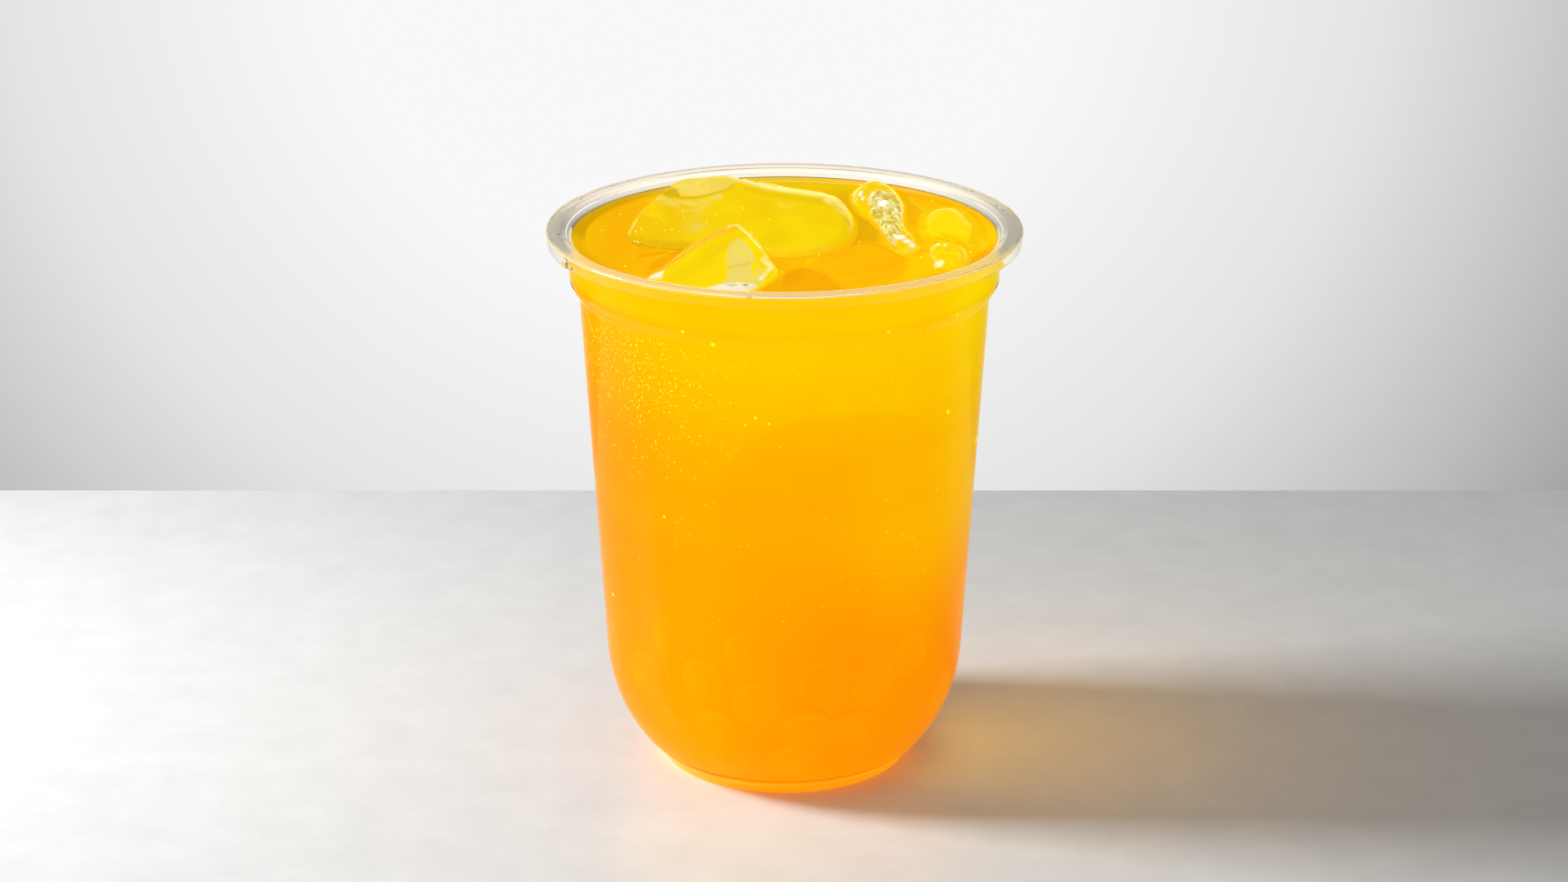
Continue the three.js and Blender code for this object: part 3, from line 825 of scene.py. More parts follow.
def core_profile():
    """The cloudy middle of the drink, close behind the wall; lower down it leaves room for the pearls."""
    near = side(2.6, 60, 90, 18)
    pts = []
    for k, p in enumerate(side(4.25, 60, 90, 18)):
        t = max(smooth(36, 52, p[1]), 1 - smooth(5, 11, p[1]))
        q = near[k]
        pts.append((p[0] + (q[0] - p[0]) * t, p[1] + (q[1] - p[1]) * t))
    bottom = 2.9
    pts = [p for p in pts if bottom + 1.6 < p[1] < STEP_TOP - 0.3]
    first = pts[0]
    corner = [bezier((first[0] - 4.0, bottom), (first[0] - 2.6, bottom), (first[0] - 1.2, first[1] - 1.0), first, i / 6) for i in range(6)]
    flat = [(corner[0][0] * k / 8, bottom) for k in range(8)]
    pts = flat + corner + pts
    top = CORE_TOP
    r = 42.34
    pts += [(r - 0.5, 103.0), (r - 0.15, 103.8), (r, 105.0), (r, 107.0)]
    pts += arc(r - 0.25, top - 0.25, 0.25, 0.25, 0, 90, 4)
    pts += [((r - 0.25) * k / 110, top) for k in range(109, -1, -1)]
    return pts


# edges of ice deep in the drink, as they show through the front: a line (x, z) and how much darker it is below it
DEEP_EDGES = (
    ([(-14, 68.0), (-10.8, 74.5), (-6.5, 80.1), (-1.0, 83.3), (5.2, 84.9), (14.6, 85.1), (22, 83.6), (28, 79.5), (33, 70)], 0.050, 0.9),
    ([(-26, 68.0), (-20, 69.5), (-9, 71.0), (-1, 74.0), (13, 75.0), (22, 74.5), (30, 66)], 0.028, 1.4),
    ([(4, 46.0), (10, 50.0), (20, 53.0), (30, 54.0)], 0.02, 1.6),
)


def side_green(x, z, y=-1.0):
    """How yellow the drink looks through the wall: most at the top, least low down on the right, where the lower part
    is painted lighter on the left and darker on the right as painted light and shade from the key lamp at the left.
    """
    g = table([(4, 0.33), (20, 0.322), (31, 0.332), (42, 0.345), (50, 0.362), (63, 0.395), (75, 0.435),
               (80, 0.475), (88, 0.53), (96, 0.575), (101, 0.59), (112, 0.575)], z)
    low = 1 - smooth(30, 58, z)
    # painted light and shade: lighter on the left, darker on the right, low down
    g -= 0.0024 * x * low
    g *= 1 - 0.13 * (1 - smooth(-36, -18, x)) * smooth(58, 78, z) * (1 - smooth(98, 106, z))
    g *= 1 + 0.10 * smooth(26, 36, x) * smooth(48, 66, z)
    g *= 1 + smooth(6, 30, x) * table([(4, 0.12), (25, 0.17), (37, 0.26), (50, 0.22), (67, 0.13), (80, 0.03), (95, 0.0)], z)
    g *= 1 - (1 - smooth(-36, -12, x)) * table([(20, 0.05), (37, 0.07), (50, 0.13), (80, 0.12), (92, 0.10), (102, 0.04)], z)
    g *= table([(4, 1.06), (40, 1.03), (50, 1.02), (60, 1.04), (75, 1.01), (90, 1.0)], z)
    g *= 1 + 0.08 * smooth(28, 38, x) * smooth(58, 80, z)
    g *= 1.03 * table([(4, 1.13), (30, 1.14), (98, 1.12), (104, 1.04)], z)
    g *= 1 - 0.05 * (1 - smooth(-38, -20, x)) * (1 - smooth(60, 75, z))
    if y < 0:
        for line, depth, soft in DEEP_EDGES:
            if line[0][0] < x < line[-1][0]:
                under = table(line, x) - z
                ends = smooth(line[0][0], line[0][0] + 3, x) * (1 - smooth(line[-1][0] - 8, line[-1][0], x))
                g *= 1 - depth * ends * smooth(-soft / 2, soft / 2, under) * (1 - 0.6 * smooth(2, 16, under))
        g *= 1 + 0.035 * smooth(7.2, 8.4, x) * (1 - smooth(11.5, 13.5, x)) * smooth(84.8, 86, z) * (1 - smooth(89, 94, z))
    return g


DOME_1 = [(5.0, -19.4), (6.6, -13.8), (8.8, -9.9), (12.0, -7.4), (16.0, -7.2), (18.9, -9.0), (21.2, -13.4), (23.5, -17.9), (24.2, -23.3),
          (22.6, -29.8), (19.4, -34.0), (13.9, -36.2), (8.4, -37.2), (5.5, -30.8)]
DOME_2 = [(-0.4, -29.8), (0.8, -25.5), (3.1, -23.3), (5.6, -24.4), (8.1, -28.2), (10.2, -33.5), (11.1, -38.3), (-0.1, -39.8)]


def surface_colour(x, y):
    """The colour of the drink from above, without the ice that floats in it."""
    c = np.tile(lit(246, 188, 1), (len(x), 1))
    r = np.hypot(x, y)
    wide = mottle(x, y, 0.09, 12.0)
    lay(c, step(-22, -36, x) * 0.9, (241, 182, 2))
    lay(c, np.exp(-(((x + 24) / 8) ** 2 + ((y + 12) / 9) ** 2)) * 0.6, (244, 178, 1))
    lay(c, step(-34, -40, x) * step(-26, -10, y) * step(20, 4, y) * 0.8, (243, 196, 4))
    lay(c, np.exp(-(((x - 0) / 10) ** 2 + ((y + 20) / 8) ** 2)), (255, 190, 1))
    lay(c, step(14, 26, x) * step(14, -6, y), (255, 207, 1))
    lay(c, step(24, 30, x) * step(-8, 6, y), (253, 200, 2))
    lay(c, step(-2, 14, y) * step(4, 10, x) * step(26, 14, x), (232, 182, 4))
    lay(c, step(22, 36, y) * step(24, 12, x), (234, 200, 10))
    lay(c, step(-28, -38, y) * step(14, 2, x) * step(-8, 0, x) * 0.8, (244, 176, 1))
    lay(c, step(0.1, 0.5, wide) * 0.25, (252, 204, 4))
    # dimmer where the ice shades it, at the right of the big slab
    lay(c, area_of(x, y, [(15.0, 15.4), (17.9, 10.8), (19.1, 3.0), (18.6, -6.5), (14.2, -6.8), (13.0, -3.2)], 0.8), (231, 179, 4))
    # two lumps of ice just under the surface
    inner = within(x, y, DOME_1, FLAT)
    lay(c, step(-0.3, 0.5, inner), (255, 188, 0))
    lay(c, step(0.6, 3.0, inner) * 0.5, (254, 183, 0))
    lay(c, stroke(x, y, [(5.8, -15.6), (7.6, -11.6), (9.6, -9.0), (12.0, -7.4)], 0.55, 0.3), (240, 146, 0))
    lay(c, stroke(x, y, [(12.0, -7.4), (16.0, -7.4), (18.9, -9.2), (21.2, -13.6), (24.0, -18.4)], 0.28, 0.3) * 0.8, (240, 172, 4))
    lay(c, stroke(x, y, [(4.6, -20.0), (5.6, -17.0), (7.0, -15.0)], 0.5, 0.5) * 0.7, (250, 214, 20))
    lay(c, step(-0.3, 0.3, within(x, y, DOME_2, FLAT)), (240, 172, 2))
    lay(c, stroke(x, y, [(-0.8, -28.0), (1.2, -24.6), (3.4, -22.9), (5.8, -23.6)], 0.35, 0.4) * 0.7, (252, 194, 10))
    lay(c, stroke(x, y, [(9.0, -28.0), (12.4, -31.4)], 0.5, 0.6) * 0.5, (255, 206, 10))
    # steps of the wedge under the surface, to its left
    lay(c, area_of(x, y, [(-28.6, -17.6), (-25.1, -13.6), (-21.6, -12.0), (-17.6, -4.6), (-13.4, 5.0), (-17.0, -9.0), (-24.0, -28.0), (-26.4, -29.0), (-23.6, -19.0)], 0.3) * 0.6, (248, 186, 2))
    for line, rgb in (
        ([(-28.4, -16.4), (-25.1, -14.2), (-22.0, -13.1), (-18.2, -7.5)], (226, 160, 2)),
        ([(-25.4, -21.4), (-22.8, -15.3), (-19.7, -8.6), (-14.3, 2.0)], (233, 160, 1)),
        ([(-26.9, -28.4), (-22.9, -18.6), (-17.6, -5.4), (-13.2, 6.0)], (240, 162, 1)),
        ([(-24.6, -17.0), (-21.0, -10.4), (-16.8, -1.2)], (252, 200, 6)),
        ([(-26.2, -24.0), (-24.0, -21.6), (-23.0, -24.6)], (236, 166, 1)),
    ):
        lay(c, stroke(x, y, line, 0.34, 0.4) * 0.8, rgb)
    # wisps between the lumps on the right
    for line in ([(24.6, -3.0), (28.0, -1.0), (33.0, -8.0), (38.5, -6.0)], [(25.0, -14.0), (28.0, -12.0), (29.0, -16.0)],
                 [(27.0, -6.0), (30.0, -5.0), (36.0, -7.6), (39.4, -4.0)], [(25.8, 8.0), (28.0, 4.0), (27.0, -4.0)]):
        lay(c, stroke(x, y, line, 0.25, 0.5) * 0.55, (240, 172, 2))
    lay(c, stroke(x, y, [(26.0, 26.0), (27.2, 21.0), (28.8, 16.4)], 0.5, 0.5) * 0.8, (246, 216, 90))
    lay(c, stroke(x, y, [(39.0, -1.0), (39.4, -8.0), (39.0, -12.0)], 0.5, 0.5) * 0.6, (250, 222, 90))
    # along the wall: orange bands, and darker amber crescents at the back and at the left as painted shade where the
    # drink meets the wall
    lay(c, step(37.2, 39.0, r) * step(6, 16, x) * step(2, 12, y), (255, 185, 1))
    lay(c, step(39.6, 41.6, r) * step(20, 30, x) * step(-6, -16, y), (252, 172, 1))
    back = step(37.6, 38.6, r) * step(24, 34, y)
    lay(c, back * step(18, 8, x), (227, 187, 3))
    lay(c, step(39.4, 40.0, r + 0.02 * y) * step(-22, -27, x) * step(-8, 0, y), (214, 166, 1))
    lay(c, step(40.6, 41.6, r) * step(-16, -30, x) * step(2, -10, y) * 0.5, (236, 170, 2))
    return c


def juice_colours(ob, shift, steepest=0.35):
    """Paints a cloudy body: from above with the surface's colours, which the drink over it moves nearer the viewer."""
    me = ob.data
    co, no = np.empty(len(me.vertices) * 3), np.empty(len(me.vertices) * 3)
    me.vertices.foreach_get("co", co)
    me.vertices.foreach_get("normal", no)
    co, no = co.reshape(-1, 3) / MM, no.reshape(-1, 3)
    colours = np.array([(1.0, side_green(p[0], p[2], p[1]) / 1.03, 0.0005) for p in co])
    up = (co[:, 2] > 106.5) & (no[:, 2] > steepest)
    colours[up] = surface_colour(co[up, 0], co[up, 1] - shift) * 1.08
    set_glow(ob, colours)


def build_core():
    def lumps(r, z, a):
        p = Vector((r * math.cos(a), r * math.sin(a), z))
        k = noise.noise(p * 0.05) * 1.2 + noise.noise(p * 0.13 + Vector((7, 1, 2))) * 0.35
        if z > 108:
            return r, z + 1.33 * smooth(40.2, 42.0, r) + 0.35 * (1 - smooth(38, 41.5, r)) * noise.noise(p * 0.09 + Vector((3, 9, 5)))
        if z > 102:
            return r, z
        return r + k * 0.5, z
    verts, faces = lathe(core_profile(), 256, lumps)
    ob = mesh_object("drink_cloudy_core", verts, faces)
    juice_colours(ob, 2.3)
    # painted glow: the cloudy body and its top emit light in place of the light scattered in the juice
    ob.data.materials.append(glowing("cloudy_juice", 0.92, 0.30))
    ob.data.materials.append(glowing("juice_from_above", 0.92, 0.2, grain=0.03, scale=70))
    for poly in ob.data.polygons:
        poly.material_index = 1 if poly.normal.z > 0.5 and poly.center.z > 0.1065 else 0
    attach(ob, "root")
    return ob


# lumps that are wholly under: seen from above, or dimly through the wall
SUNK = {
    "sunk_ice_1": dict(
        at=(14.6, -17.0, 101.5), top=110.15, power=7, melt=0.5,
        facets=[(180, 10, 10.2), (130, 14, 12.2), (80, 12, 12.0), (30, 12, 10.5), (-20, 10, 10.4), (-90, 8, 14.5), (-140, 8, 13.0),
                (0, 90, 8.6), (150, 62, 9.6), (60, 66, 9.6), (-60, 60, 11.5), (0, -90, 8)],
    ),
    "sunk_ice_2": dict(
        at=(5.6, -30.5, 101.0), top=110.0, power=7, melt=0.5,
        facets=[(180, 10, 6.6), (120, 12, 8.6), (60, 12, 8.0), (0, 10, 7.0), (-90, 8, 8.0),
                (0, 90, 8.6), (150, 62, 9.0), (60, 66, 9.2), (0, -90, 8)],
    ),
}


def build_sunk(name):
    lump = SUNK[name]
    pts, faces = lump_mesh(lump["facets"], lump["power"], 56)
    centre, melt = Vector(lump["at"]), lump["melt"]
    verts = []
    for p in pts:
        k = noise.noise(p * 0.12 + centre) + 0.4 * noise.noise(p * 0.4 + centre)
        verts.append(centre + p + p.normalized() * melt * k)
    lift = lump["top"] - max(v.z for v in verts)
    verts = [keep_inside(v + Vector((0, 0, lift))) for v in verts]
    ob = mesh_object(name, [v * MM for v in verts], faces)
    juice_colours(ob, 1.0, -1.0)
    ob.data.materials.append(glowing(name + "_skin", 0.92, 0.2, grain=0.03))
    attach(ob, "root")
    return ob


# ------------------------------------------------------------------ the pearls
PEARL = 5.15
# centres of the pearls that the front shows, against the inner wall
FRONT_PEARLS = [
    (-6.7, -30.3, 33.7), (-15.0, -26.7, 26.6), (-5.1, -29.9, 23.0), (-12.3, -26.5, 17.3), (7.0, -29.9, 27.7),
    (16.5, -25.9, 25.9), (23.2, -20.3, 29.8), (4.1, -29.2, 18.2), (12.6, -26.1, 16.8), (1.7, -25.6, 10.2),
    (13.3, -20.4, 8.5), (-25.4, -17.6, 24.2), (-10.7, -22.5, 9.2), (-20.9, -22.6, 34.0),
]


def pearl_places():
    places = [Vector(p) for p in FRONT_PEARLS]
    line = [q for q in side(WALL + 0.1 + PEARL) if q[1] > 8.0]
    heights = [(q[1], q[0]) for q in line]
    rows = ((8.4, 13), (16.5, 15), (25.0, 17), (33.5, 14))
    for row, (z, count) in enumerate(rows):
        for k in range(count):
            a = 2 * math.pi * (k + 0.37 * row) / count + random.uniform(-0.06, 0.06)
            zz = z + random.uniform(-1.0, 1.4)
            r = table(heights, zz) - random.choice((0, 0, 0, 0.4))
            if zz < 9.5:
                r = min(r, 23.0)
            p = Vector((r * math.cos(a), r * math.sin(a), zz))
            if p.y < -9 and abs(p.x) < 24:
                continue
            if all((p - q).length > 2 * PEARL - 0.5 for q in places):
                places.append(p)
    return places


def build_pearls():
    verts, faces, colours = [], [], []
    rows, cols = 22, 32
    for at in pearl_places():
        base = len(verts)
        out = Vector((at.x, at.y, 0)).normalized()
        wall_lean = Vector((out.x, out.y, -0.1 if at.z > 22 else -0.6)).normalized()
        size = PEARL * random.uniform(0.985, 1.01)
        shift = Vector((random.random() * 50, random.random() * 50, 0))
        for i in range(rows + 1):
            t = math.pi * i / rows
            for j in range(cols if 0 < i < rows else 1):
                f = 2 * math.pi * j / cols
                d = Vector((math.sin(t) * math.cos(f), math.sin(t) * math.sin(f), math.cos(t)))
                verts.append((at + d * size * (1 + 0.012 * noise.noise(d * 1.5 + shift))) * MM)
                # painted sheen: the clear skin is painted paler in a ring where it is seen edge-on from outside the
                # cup, and a little darker in the middle
                k = math.sqrt(max(0.0, 1 - max(d.dot(wall_lean), 0.0) ** 2))
                ring = smooth(0.74, 0.84, k) * (1 - smooth(0.90, 0.97, k))
                heart = 1 - smooth(0.0, 0.5, k)
                p = at + d * size
                g = side_green(p.x, p.z, p.y) / 1.03
                g *= 0.955 + 0.075 * ring - 0.01 * heart
                colours.append((1.0, g, 0.0006 + 0.004 * ring))
        def index(i, j):
            if i == 0:
                return base
            if i == rows:
                return base + 1 + (rows - 1) * cols
            return base + 1 + (i - 1) * cols + j % cols
        for i in range(rows):
            for j in range(cols):
                q = (index(i, j), index(i + 1, j), index(i + 1, j + 1), index(i, j + 1))
                if i == 0:
                    q = (q[0], q[1], q[2])
                elif i == rows - 1:
                    q = (q[0], q[1], q[3])
                faces.append(q)
    ob = mesh_object("pearls", verts, faces)
    layer = ob.data.color_attributes.new("Glow", "FLOAT_COLOR", "POINT")
    for k, c in enumerate(colours):
        layer.data[k].color = (*c, 1.0)
    ob.data.materials.append(glowing("pearl_jelly", 0.92, 0.30, grain=0.015, rough=0.35, scale=200))
    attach(ob, "root")
    return ob


# ------------------------------------------------------------------ droplets on the outside of the cup
def add_drop(verts, faces, at, normal, size, tall=1.0, flat=0.55, rows=3, cols=9):
    """A bead of water that stands on the wall: its foot goes a little way into it."""
    normal = normal.normalized()
    up = Vector((0, 0, 1)) - normal * normal.z
    up.normalize()
    across = up.cross(normal)
    base = len(verts)
    for i in range(rows + 1):
        t = math.radians(105) * i / rows
        for j in range(cols if i else 1):
            f = 2 * math.pi * j / cols
            v = at + normal * (math.cos(t) * size * flat) + (across * math.cos(f) + up * math.sin(f) * tall) * math.sin(t) * size
            verts.append(v * MM)
    last = base + 1 + (rows - 1) * cols
    for j in range(cols):
        faces.append((base, base + 1 + j, base + 1 + (j + 1) % cols))
    for i in range(1, rows):
        a, b = base + 1 + (i - 1) * cols, base + 1 + i * cols
        for j in range(cols):
            faces.append((a + j, b + j, b + (j + 1) % cols, a + (j + 1) % cols))
    faces.append(tuple(last + j for j in range(cols))[::-1])


def wall_at(angle, z):
    """The point of the outer wall at this turn and height, and its normal."""
    line = WALL_LINE
    for p, q in zip(line, line[1:]):
        if p[1] <= z <= q[1]:
            t = (z - p[1]) / max(q[1] - p[1], 1e-6)
            r = p[0] + (q[0] - p[0]) * t
            n = Vector((q[1] - p[1], -(q[0] - p[0])))
            n.normalize()
            return Vector((r * math.cos(angle), r * math.sin(angle), z)), Vector((n.x * math.cos(angle), n.x * math.sin(angle), n.y))
    return None, None


WALL_LINE = side(0)


def build_drops():
    verts, faces = [], []
    rnd = random.Random(7)
    def wall_drop(x, y, z, size, tall=1.0, flat=0.55, rows=5, cols=14):
        at, normal = wall_at(math.atan2(y, x), z)
        add_drop(verts, faces, at, normal, size, tall, flat, rows, cols)
    # fine mist, thickest high on the left
    for _ in range(620):
        a = math.radians(rnd.gauss(-138, 17))
        z = rnd.gauss(90, 9)
        if not 55 < z < 100:
            continue
        at, normal = wall_at(a, z)
        add_drop(verts, faces, at, normal, rnd.uniform(0.07, 0.17), rows=2, cols=6)
    for _ in range(320):
        a, z = rnd.uniform(-math.pi, math.pi), rnd.uniform(40, 101)
        at, normal = wall_at(a, z)
        add_drop(verts, faces, at, normal, rnd.uniform(0.06, 0.16), rows=2, cols=6)
    for x, y, z, size, tall in (
        (-17.7, -34.9, 102.4, 0.34, 1.0), (-13.6, -39.4, 100.2, 0.5, 0.9), (29.0, -23.5, 102.2, 0.3, 1.0), (18.4, -35.4, 102.3, 0.3, 1.0),
        (32.0, -24.0, 81.4, 0.45, 1.0), (38.6, -7.9, 69.9, 0.42, 1.5), (-34.6, -14.3, 39.0, 0.3, 1.4),
        (-3.0, -40.0, 84.5, 0.25, 1.0), (-5.5, -39.4, 85.6, 0.3, 1.0), (-7.4, -38.9, 84.0, 0.22, 1.0), (-24.0, -31.4, 62.0, 0.3, 1.0),
        (20.0, 34.0, 80.0, 0.5, 1.2), (-30.0, 26.0, 66.0, 0.6, 1.5), (5.0, 38.0, 52.0, 0.5, 1.3), (36.0, 15.0, 90.0, 0.4, 1.0),
    ):
        wall_drop(x, y, z, size, tall)
    # one bead hangs on the rim at the front left
    add_drop(verts, faces, Vector((-42.35, -21.4, 110.9)), Vector((-0.86, -0.5, 0.12)), 0.95, 1.05, 0.7, 6, 16)
    # a small nub on the front edge
    add_drop(verts, faces, Vector((-6.7, -46.85, 111.95)), Vector((-0.12, -0.9, 0.45)), 0.5, 0.6, 0.4, 5, 14)
    add_drop(verts, faces, Vector((-41.2, -23.6, 110.6)), Vector((-0.84, -0.54, 0.1)), 0.5, 1.0, 0.7, 5, 12)
    ob = mesh_object("condensation", verts, faces)
    n = Nodes("water_beads")
    n.principled(
        Base_Color=n.ramp(n.noise(n.coords(), 300, 2), [(0.3, (0.97, 0.98, 1.0)), (0.7, (1.0, 1.0, 1.0))]),
        Roughness=0.02,
        IOR=1.33,
        Transmission_Weight=1.0,
    )
    # the beads on the wall are full of the juice's light, the one on the rim is clear
    m = Nodes("water_beads_over_juice")
    m.principled(
        Base_Color=m.ramp(m.noise(m.coords(), 300, 2), [(0.3, (1.0, 0.84, 0.12)), (0.7, (1.0, 0.90, 0.20))]),
        Roughness=0.02,
        IOR=1.2,
        Transmission_Weight=0.7,
        Emission_Color=(1.0, 0.52, 0.004),
        Emission_Strength=0.55,
    )
    m.mat.cycles.emission_sampling = "NONE"
    ob.data.materials.append(n.mat)
    ob.data.materials.append(m.mat)
    for poly in ob.data.polygons:
        poly.material_index = 0 if poly.center.z > 0.106 else 1
    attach(ob, "root")
    return ob


# ------------------------------------------------------------------ small bubbles on the ice and the drink
BUBBLES = (
    # x, y, radius, height over the drink
    (-20.5, 12.4, 0.16, 1.25), (-20.1, 7.2, 0.14, 1.15), (-23.9, -1.0, 0.13, 1.0), (-22.4, -0.4, 0.15, 1.0), (-21.0, -1.4, 0.12, 0.95),
    (-25.6, 4.2, 0.13, 1.0), (-29.6, -0.8, 0.22, 0.8), (-28.6, 0.6, 0.16, 0.9), (-16.6, 14.6, 0.12, 1.3), (-13.9, 9.4, 0.14, 1.3),
    (-8.4, 13.6, 0.16, 1.5), (-10.4, 22.0, 0.12, 1.5), (-3.2, 6.0, 0.12, 1.35), (4.4, 10.6, 0.12, 1.4), (8.2, 2.2, 0.12, 1.1),
    (-26.9, 9.8, 0.12, 1.0), (-24.6, 17.2, 0.16, 1.0), (-15.6, 4.8, 0.14, 1.3), (-6.6, -4.8, 0.16, 1.3), (-3.2, -14.2, 0.18, 0.9),
    (15.8, 33.4, 0.20, 0.9), (17.0, 35.2, 0.18, 0.8), (18.6, 35.6, 0.16, 0.8), (20.2, 34.6, 0.15, 0.8), (15.0, 29.6, 0.2, 0.7),
    (16.6, 30.6, 0.16, 0.9), (22.8, 10.2, 0.2, 1.1), (22.2, 13.8, 0.16, 1.1), (21.8, 6.4, 0.18, 1.0), (24.0, 17.2, 0.16, 0.9),
    (-0.6, -26.2, 0.2, 0.02), (6.8, -14.6, 0.18, 0.02), (14.8, -5.6, 0.15, 0.02), (-36.6, 2.4, 0.18, 0.02), (-33.4, 14.0, 0.16, 0.02),
    (26.6, -16.4, 0.2, 0.02), (36.4, -12.8, 0.18, 0.02), (30.4, 24.0, 0.2, 0.02), (10.6, -38.0, 0.2, 0.02), (-30.8, -22.4, 0.2, 0.02),
)


def build_bubbles():
    verts, faces = [], []
    for x, y, size, lift in BUBBLES:
        add_drop(verts, faces, Vector((x, y, LEVEL + lift)), Vector((0.02, -0.05, 1)), size, 1.0, 0.8, 4, 10)
    ob = mesh_object("bubbles", verts, faces)
    # painted glow: the bubbles carry the juice's light as emission
    n = Nodes("bubble_skin")
    n.principled(
        Base_Color=n.ramp(n.noise(n.coords(), 500, 2), [(0.3, (0.98, 0.80, 0.20)), (0.7, (1.0, 0.93, 0.55))]),
        Roughness=0.03,
        IOR=1.33,
        Transmission_Weight=0.6,
        Emission_Color=(1.0, 0.66, 0.03),
        Emission_Strength=0.45,
    )
    n.mat.cycles.emission_sampling = "NONE"
    ob.data.materials.append(n.mat)
    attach(ob, "root")


def build_rim_marks():
    """Moulding marks: a dark fleck at the left and right, and fine scratches at the back."""
    verts, faces = [], []
    def mark(x, y, z, size, tall, flat, out):
        add_drop(verts, faces, Vector((x, y, z)), Vector(out), size, tall, flat, 4, 12)
    for x, y, turn, length in ((-44.6, -6.4, 65, 0.55), (37.3, 26.6, 145, 0.8), (38.6, 25.0, 150, 0.4), (-32.0, 32.6, 40, 1.5), (-35.4, 29.2, 43, 1.0), (-41.6, 19.4, 60, 1.0), (43.0, 14.2, 112, 0.7), (44.2, 11.0, 105, 0.5)):
        a = math.radians(turn)
        for k in range(7):
            t = (k / 6 - 0.5) * 2 * length
            mark(x + t * math.cos(a), y + t * math.sin(a), 112.36, 0.10 + 0.06 * (1 - abs(t) / length), 1.0, 0.5, (0.0, 0.02, 1))
    ob = mesh_object("rim_marks", verts, faces)
    n = Nodes("moulding_marks")
    n.principled(
        Base_Color=n.ramp(n.noise(n.coords(), 400, 2), [(0.35, (0.16, 0.15, 0.12)), (0.65, (0.42, 0.39, 0.31))]),
        Roughness=0.2,
        IOR=1.45,
        Transmission_Weight=0.25,
    )
    ob.data.materials.append(n.mat)
    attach(ob, "root")


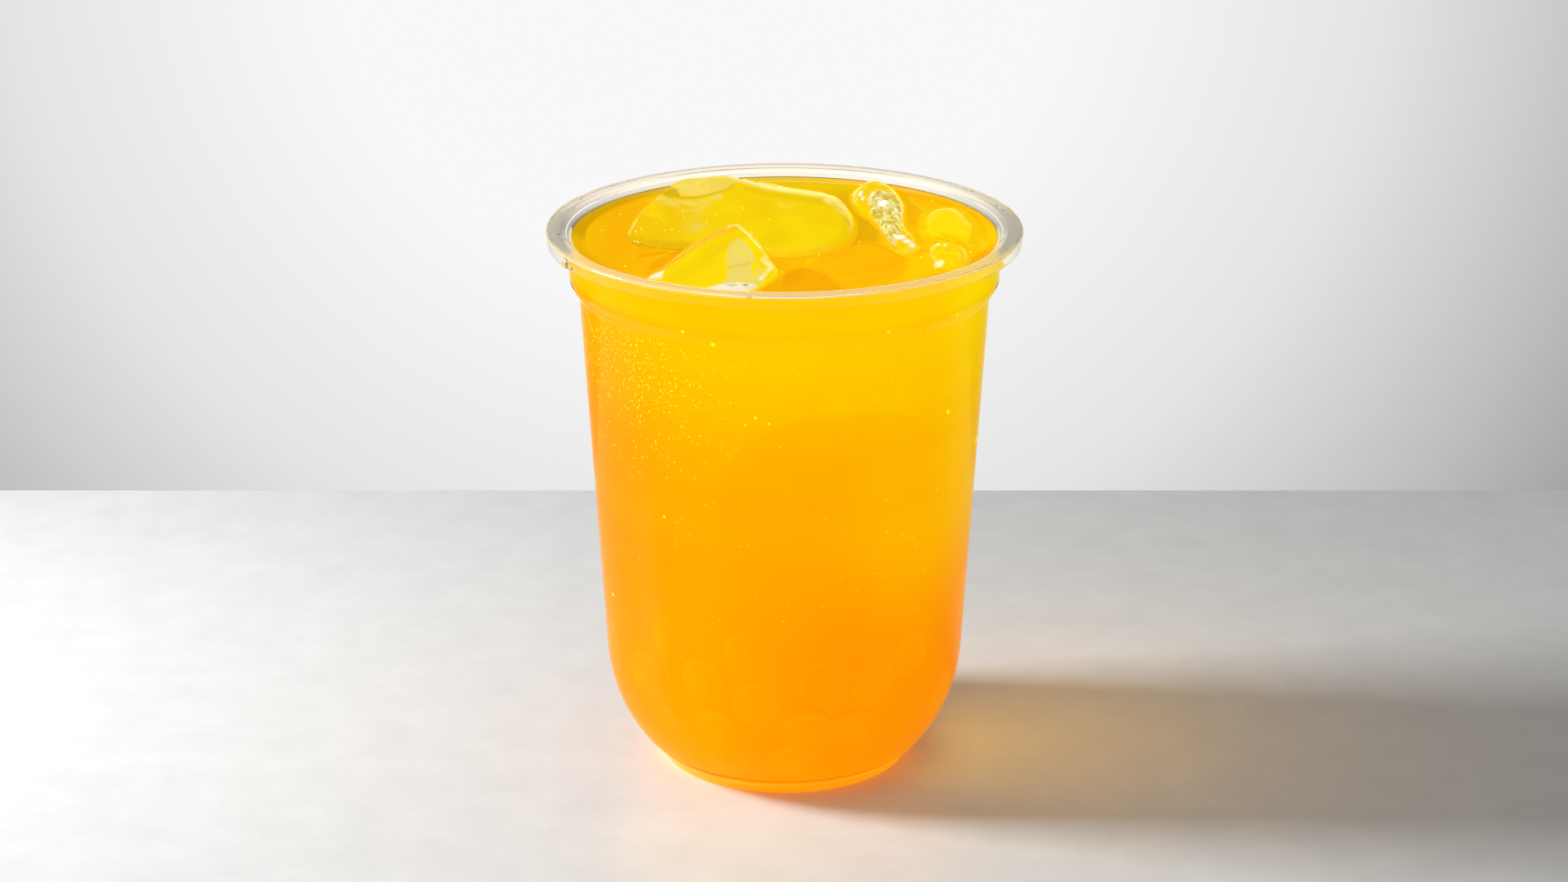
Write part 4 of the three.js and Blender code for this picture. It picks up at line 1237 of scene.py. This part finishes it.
# ------------------------------------------------------------------ setting
def build_stage():
    bpy.ops.mesh.primitive_plane_add(size=1)
    floor = bpy.context.object
    floor.name = "floor"
    floor.scale = (3.0, 1.6, 1)
    floor.location = (0, -0.8 + 0.152 + 0.0, 0)
    n = Nodes("pale_table")
    v = n.coords((3.0, 1.6, 1))
    grain = n.noise(v, 90, 5, 0.6)
    n.principled(
        Base_Color=n.ramp(grain, [(0.3, (0.61, 0.625, 0.63)), (0.7, (0.66, 0.675, 0.68))]),
        Roughness=0.35,
        Normal=n.bump(grain, 0.12, 0.0008),
    )
    floor.data.materials.append(n.mat)
    bpy.ops.mesh.primitive_plane_add(size=1)
    wall = bpy.context.object
    wall.name = "backdrop"
    wall.scale = (6, 1.8, 1)
    wall.rotation_euler = (math.radians(90), 0, 0)
    wall.location = (0, 1.3, -0.7)
    m = Nodes("backdrop_painted_glow")
    c = m.tree.nodes.new("ShaderNodeTexCoord")
    mp = m.tree.nodes.new("ShaderNodeMapping")
    mp.inputs["Location"].default_value = (0.05, -0.6, 0)
    mp.inputs["Scale"].default_value = (6 / 1.0, 1.8 / 1.0, 1)
    m.link(c.outputs["Object"], mp.inputs["Vector"])
    g = m.tree.nodes.new("ShaderNodeTexGradient")
    g.gradient_type = "SPHERICAL"
    m.link(mp.outputs[0], g.inputs[0])
    # painted pool of light: the backdrop glows brightest in the middle and falls off to dark corners
    m.principled(
        Base_Color=(0.15, 0.15, 0.15),
        Roughness=0.9,
        Emission_Color=m.ramp(g.outputs["Fac"], [(0.0, (0.04, 0.04, 0.04)), (0.38, (0.33, 0.33, 0.33)), (0.62, (0.82, 0.82, 0.825)), (0.80, (1.0, 1.0, 1.0))]),
        Emission_Strength=0.9,
    )
    wall.data.materials.append(m.mat)

    world = bpy.data.worlds.new("studio")
    scene.world = world
    world.use_nodes = True
    t = world.node_tree
    bg = t.nodes["Background"]
    tc = t.nodes.new("ShaderNodeTexCoord")
    sep = t.nodes.new("ShaderNodeSeparateXYZ")
    t.links.new(tc.outputs["Generated"], sep.inputs[0])

    def ramp(socket, stops):
        m = t.nodes.new("ShaderNodeMapRange")
        m.inputs["From Min"].default_value, m.inputs["From Max"].default_value = -1, 1
        t.links.new(socket, m.inputs["Value"])
        r = t.nodes.new("ShaderNodeValToRGB")
        e = r.color_ramp.elements
        while len(e) < len(stops):
            e.new(0.5)
        for k, (pos, value) in enumerate(stops):
            e[k].position = (pos + 1) / 2
            e[k].color = (value, value, value, 1)
        t.links.new(m.outputs[0], r.inputs[0])
        return r.outputs[0]

    # overhead light, and a bright sheet behind that ends a little over the table's height
    height = ramp(sep.outputs["Z"], [(-1, 0.9), (0.1, 0.9), (0.2, 0.04), (0.6, 0.04), (0.78, 1.0), (1, 1.0)])
    front = ramp(sep.outputs["Z"], [(-1, 0.3), (0.0, 0.3), (0.5, 0.5), (0.75, 1.0), (1, 1.0)])
    back = ramp(sep.outputs["Y"], [(-1, 0), (-0.1, 0), (0.3, 1), (1, 1)])
    mix = t.nodes.new("ShaderNodeMix")
    mix.data_type = "RGBA"
    t.links.new(back, mix.inputs["Factor"])
    t.links.new(front, mix.inputs[6])
    t.links.new(height, mix.inputs[7])
    t.links.new(mix.outputs[2], bg.inputs[0])
    bg.inputs[1].default_value = 0.54

    def area(name, where, to, size, power, colour=(1, 1, 1), spread=180):
        light = bpy.data.lights.new(name, "AREA")
        light.shape = "RECTANGLE"
        light.size, light.size_y = size
        light.energy = power
        light.color = colour
        light.spread = math.radians(spread)
        ob = bpy.data.objects.new(name, light)
        scene.collection.objects.link(ob)
        ob.location = where
        ob.rotation_euler = (Vector(to) - Vector(where)).to_track_quat("-Z", "Y").to_euler()
        return ob

    area("key", (-0.60, 0.040, 0.37), (-0.07, 0.0, 0.0), (0.18, 0.18), 1.85, (1.0, 0.995, 0.985), 90)
    # the warm light that the real drink lets through on to the table, on the side away from the key
    for where, to, size, power in (
        ((0.046, 0.004, 0.048), (0.105, 0.016, 0.0), (0.05, 0.05), 0.018),
        ((0.035, -0.004, 0.012), (0.041, -0.005, 0.0), (0.035, 0.014), 0.0011),
        ((0.0, -0.038, 0.024), (0.004, -0.075, 0.0), (0.05, 0.03), 0.0028),
    ):
        colour = (1.0, 0.50, 0.01) if where[0] > 0.04 else (1.0, 0.66, 0.02)
        glow = area("through_the_drink", where, to, size, power, colour)
        glow.visible_camera = glow.visible_glossy = glow.visible_transmission = False


def build_camera():
    cam = bpy.data.cameras.new("camera")
    cam.lens = 85
    cam.sensor_width = 36
    cam.sensor_fit = "HORIZONTAL"
    ob = bpy.data.objects.new("camera", cam)
    scene.collection.objects.link(ob)
    ob.location = (-0.0001, -0.709, (HEIGHT + 205.5) * MM)
    ob.rotation_euler = (math.radians(90 - 19.5), 0, 0)
    cam.clip_start, cam.clip_end = 0.01, 20
    scene.camera = ob


scene.view_settings.view_transform = "Standard"
scene.view_settings.look = "None"

build_camera()
cup = build_cup()
drink = build_drink()
core = build_core()
for name in SUNK:
    build_sunk(name)
build_pearls()
build_drops()
build_bubbles()
build_rim_marks()
# the ice glows with painted light, standing in for the juice's light inside and under it
wet_ice = glowing("wet_ice", 0.91, 0.12, grain=0.012, rough=0.1, gloss=0.24, ior=1.31, scale=300, ripple=0.22, tint_gloss=(1.0, 0.92, 0.7))
cracked_ice = glowing("cracked_ice", 0.92, 0.12, grain=0.02, rough=0.06, gloss=0.45, ior=1.31, scale=300, ripple=0.4, tint_gloss=(1.0, 0.95, 0.85))
filmed_ice = glowing("ice_under_a_film_of_juice", 0.93, 0.12, grain=0.012, rough=0.15, gloss=0.1, ior=1.31, scale=300, ripple=0.15)
for name in FLOES:
    build_ice(name, {"ice_4": cracked_ice, "ice_5": filmed_ice, "ice_6": filmed_ice}.get(name, wet_ice))
build_stage()
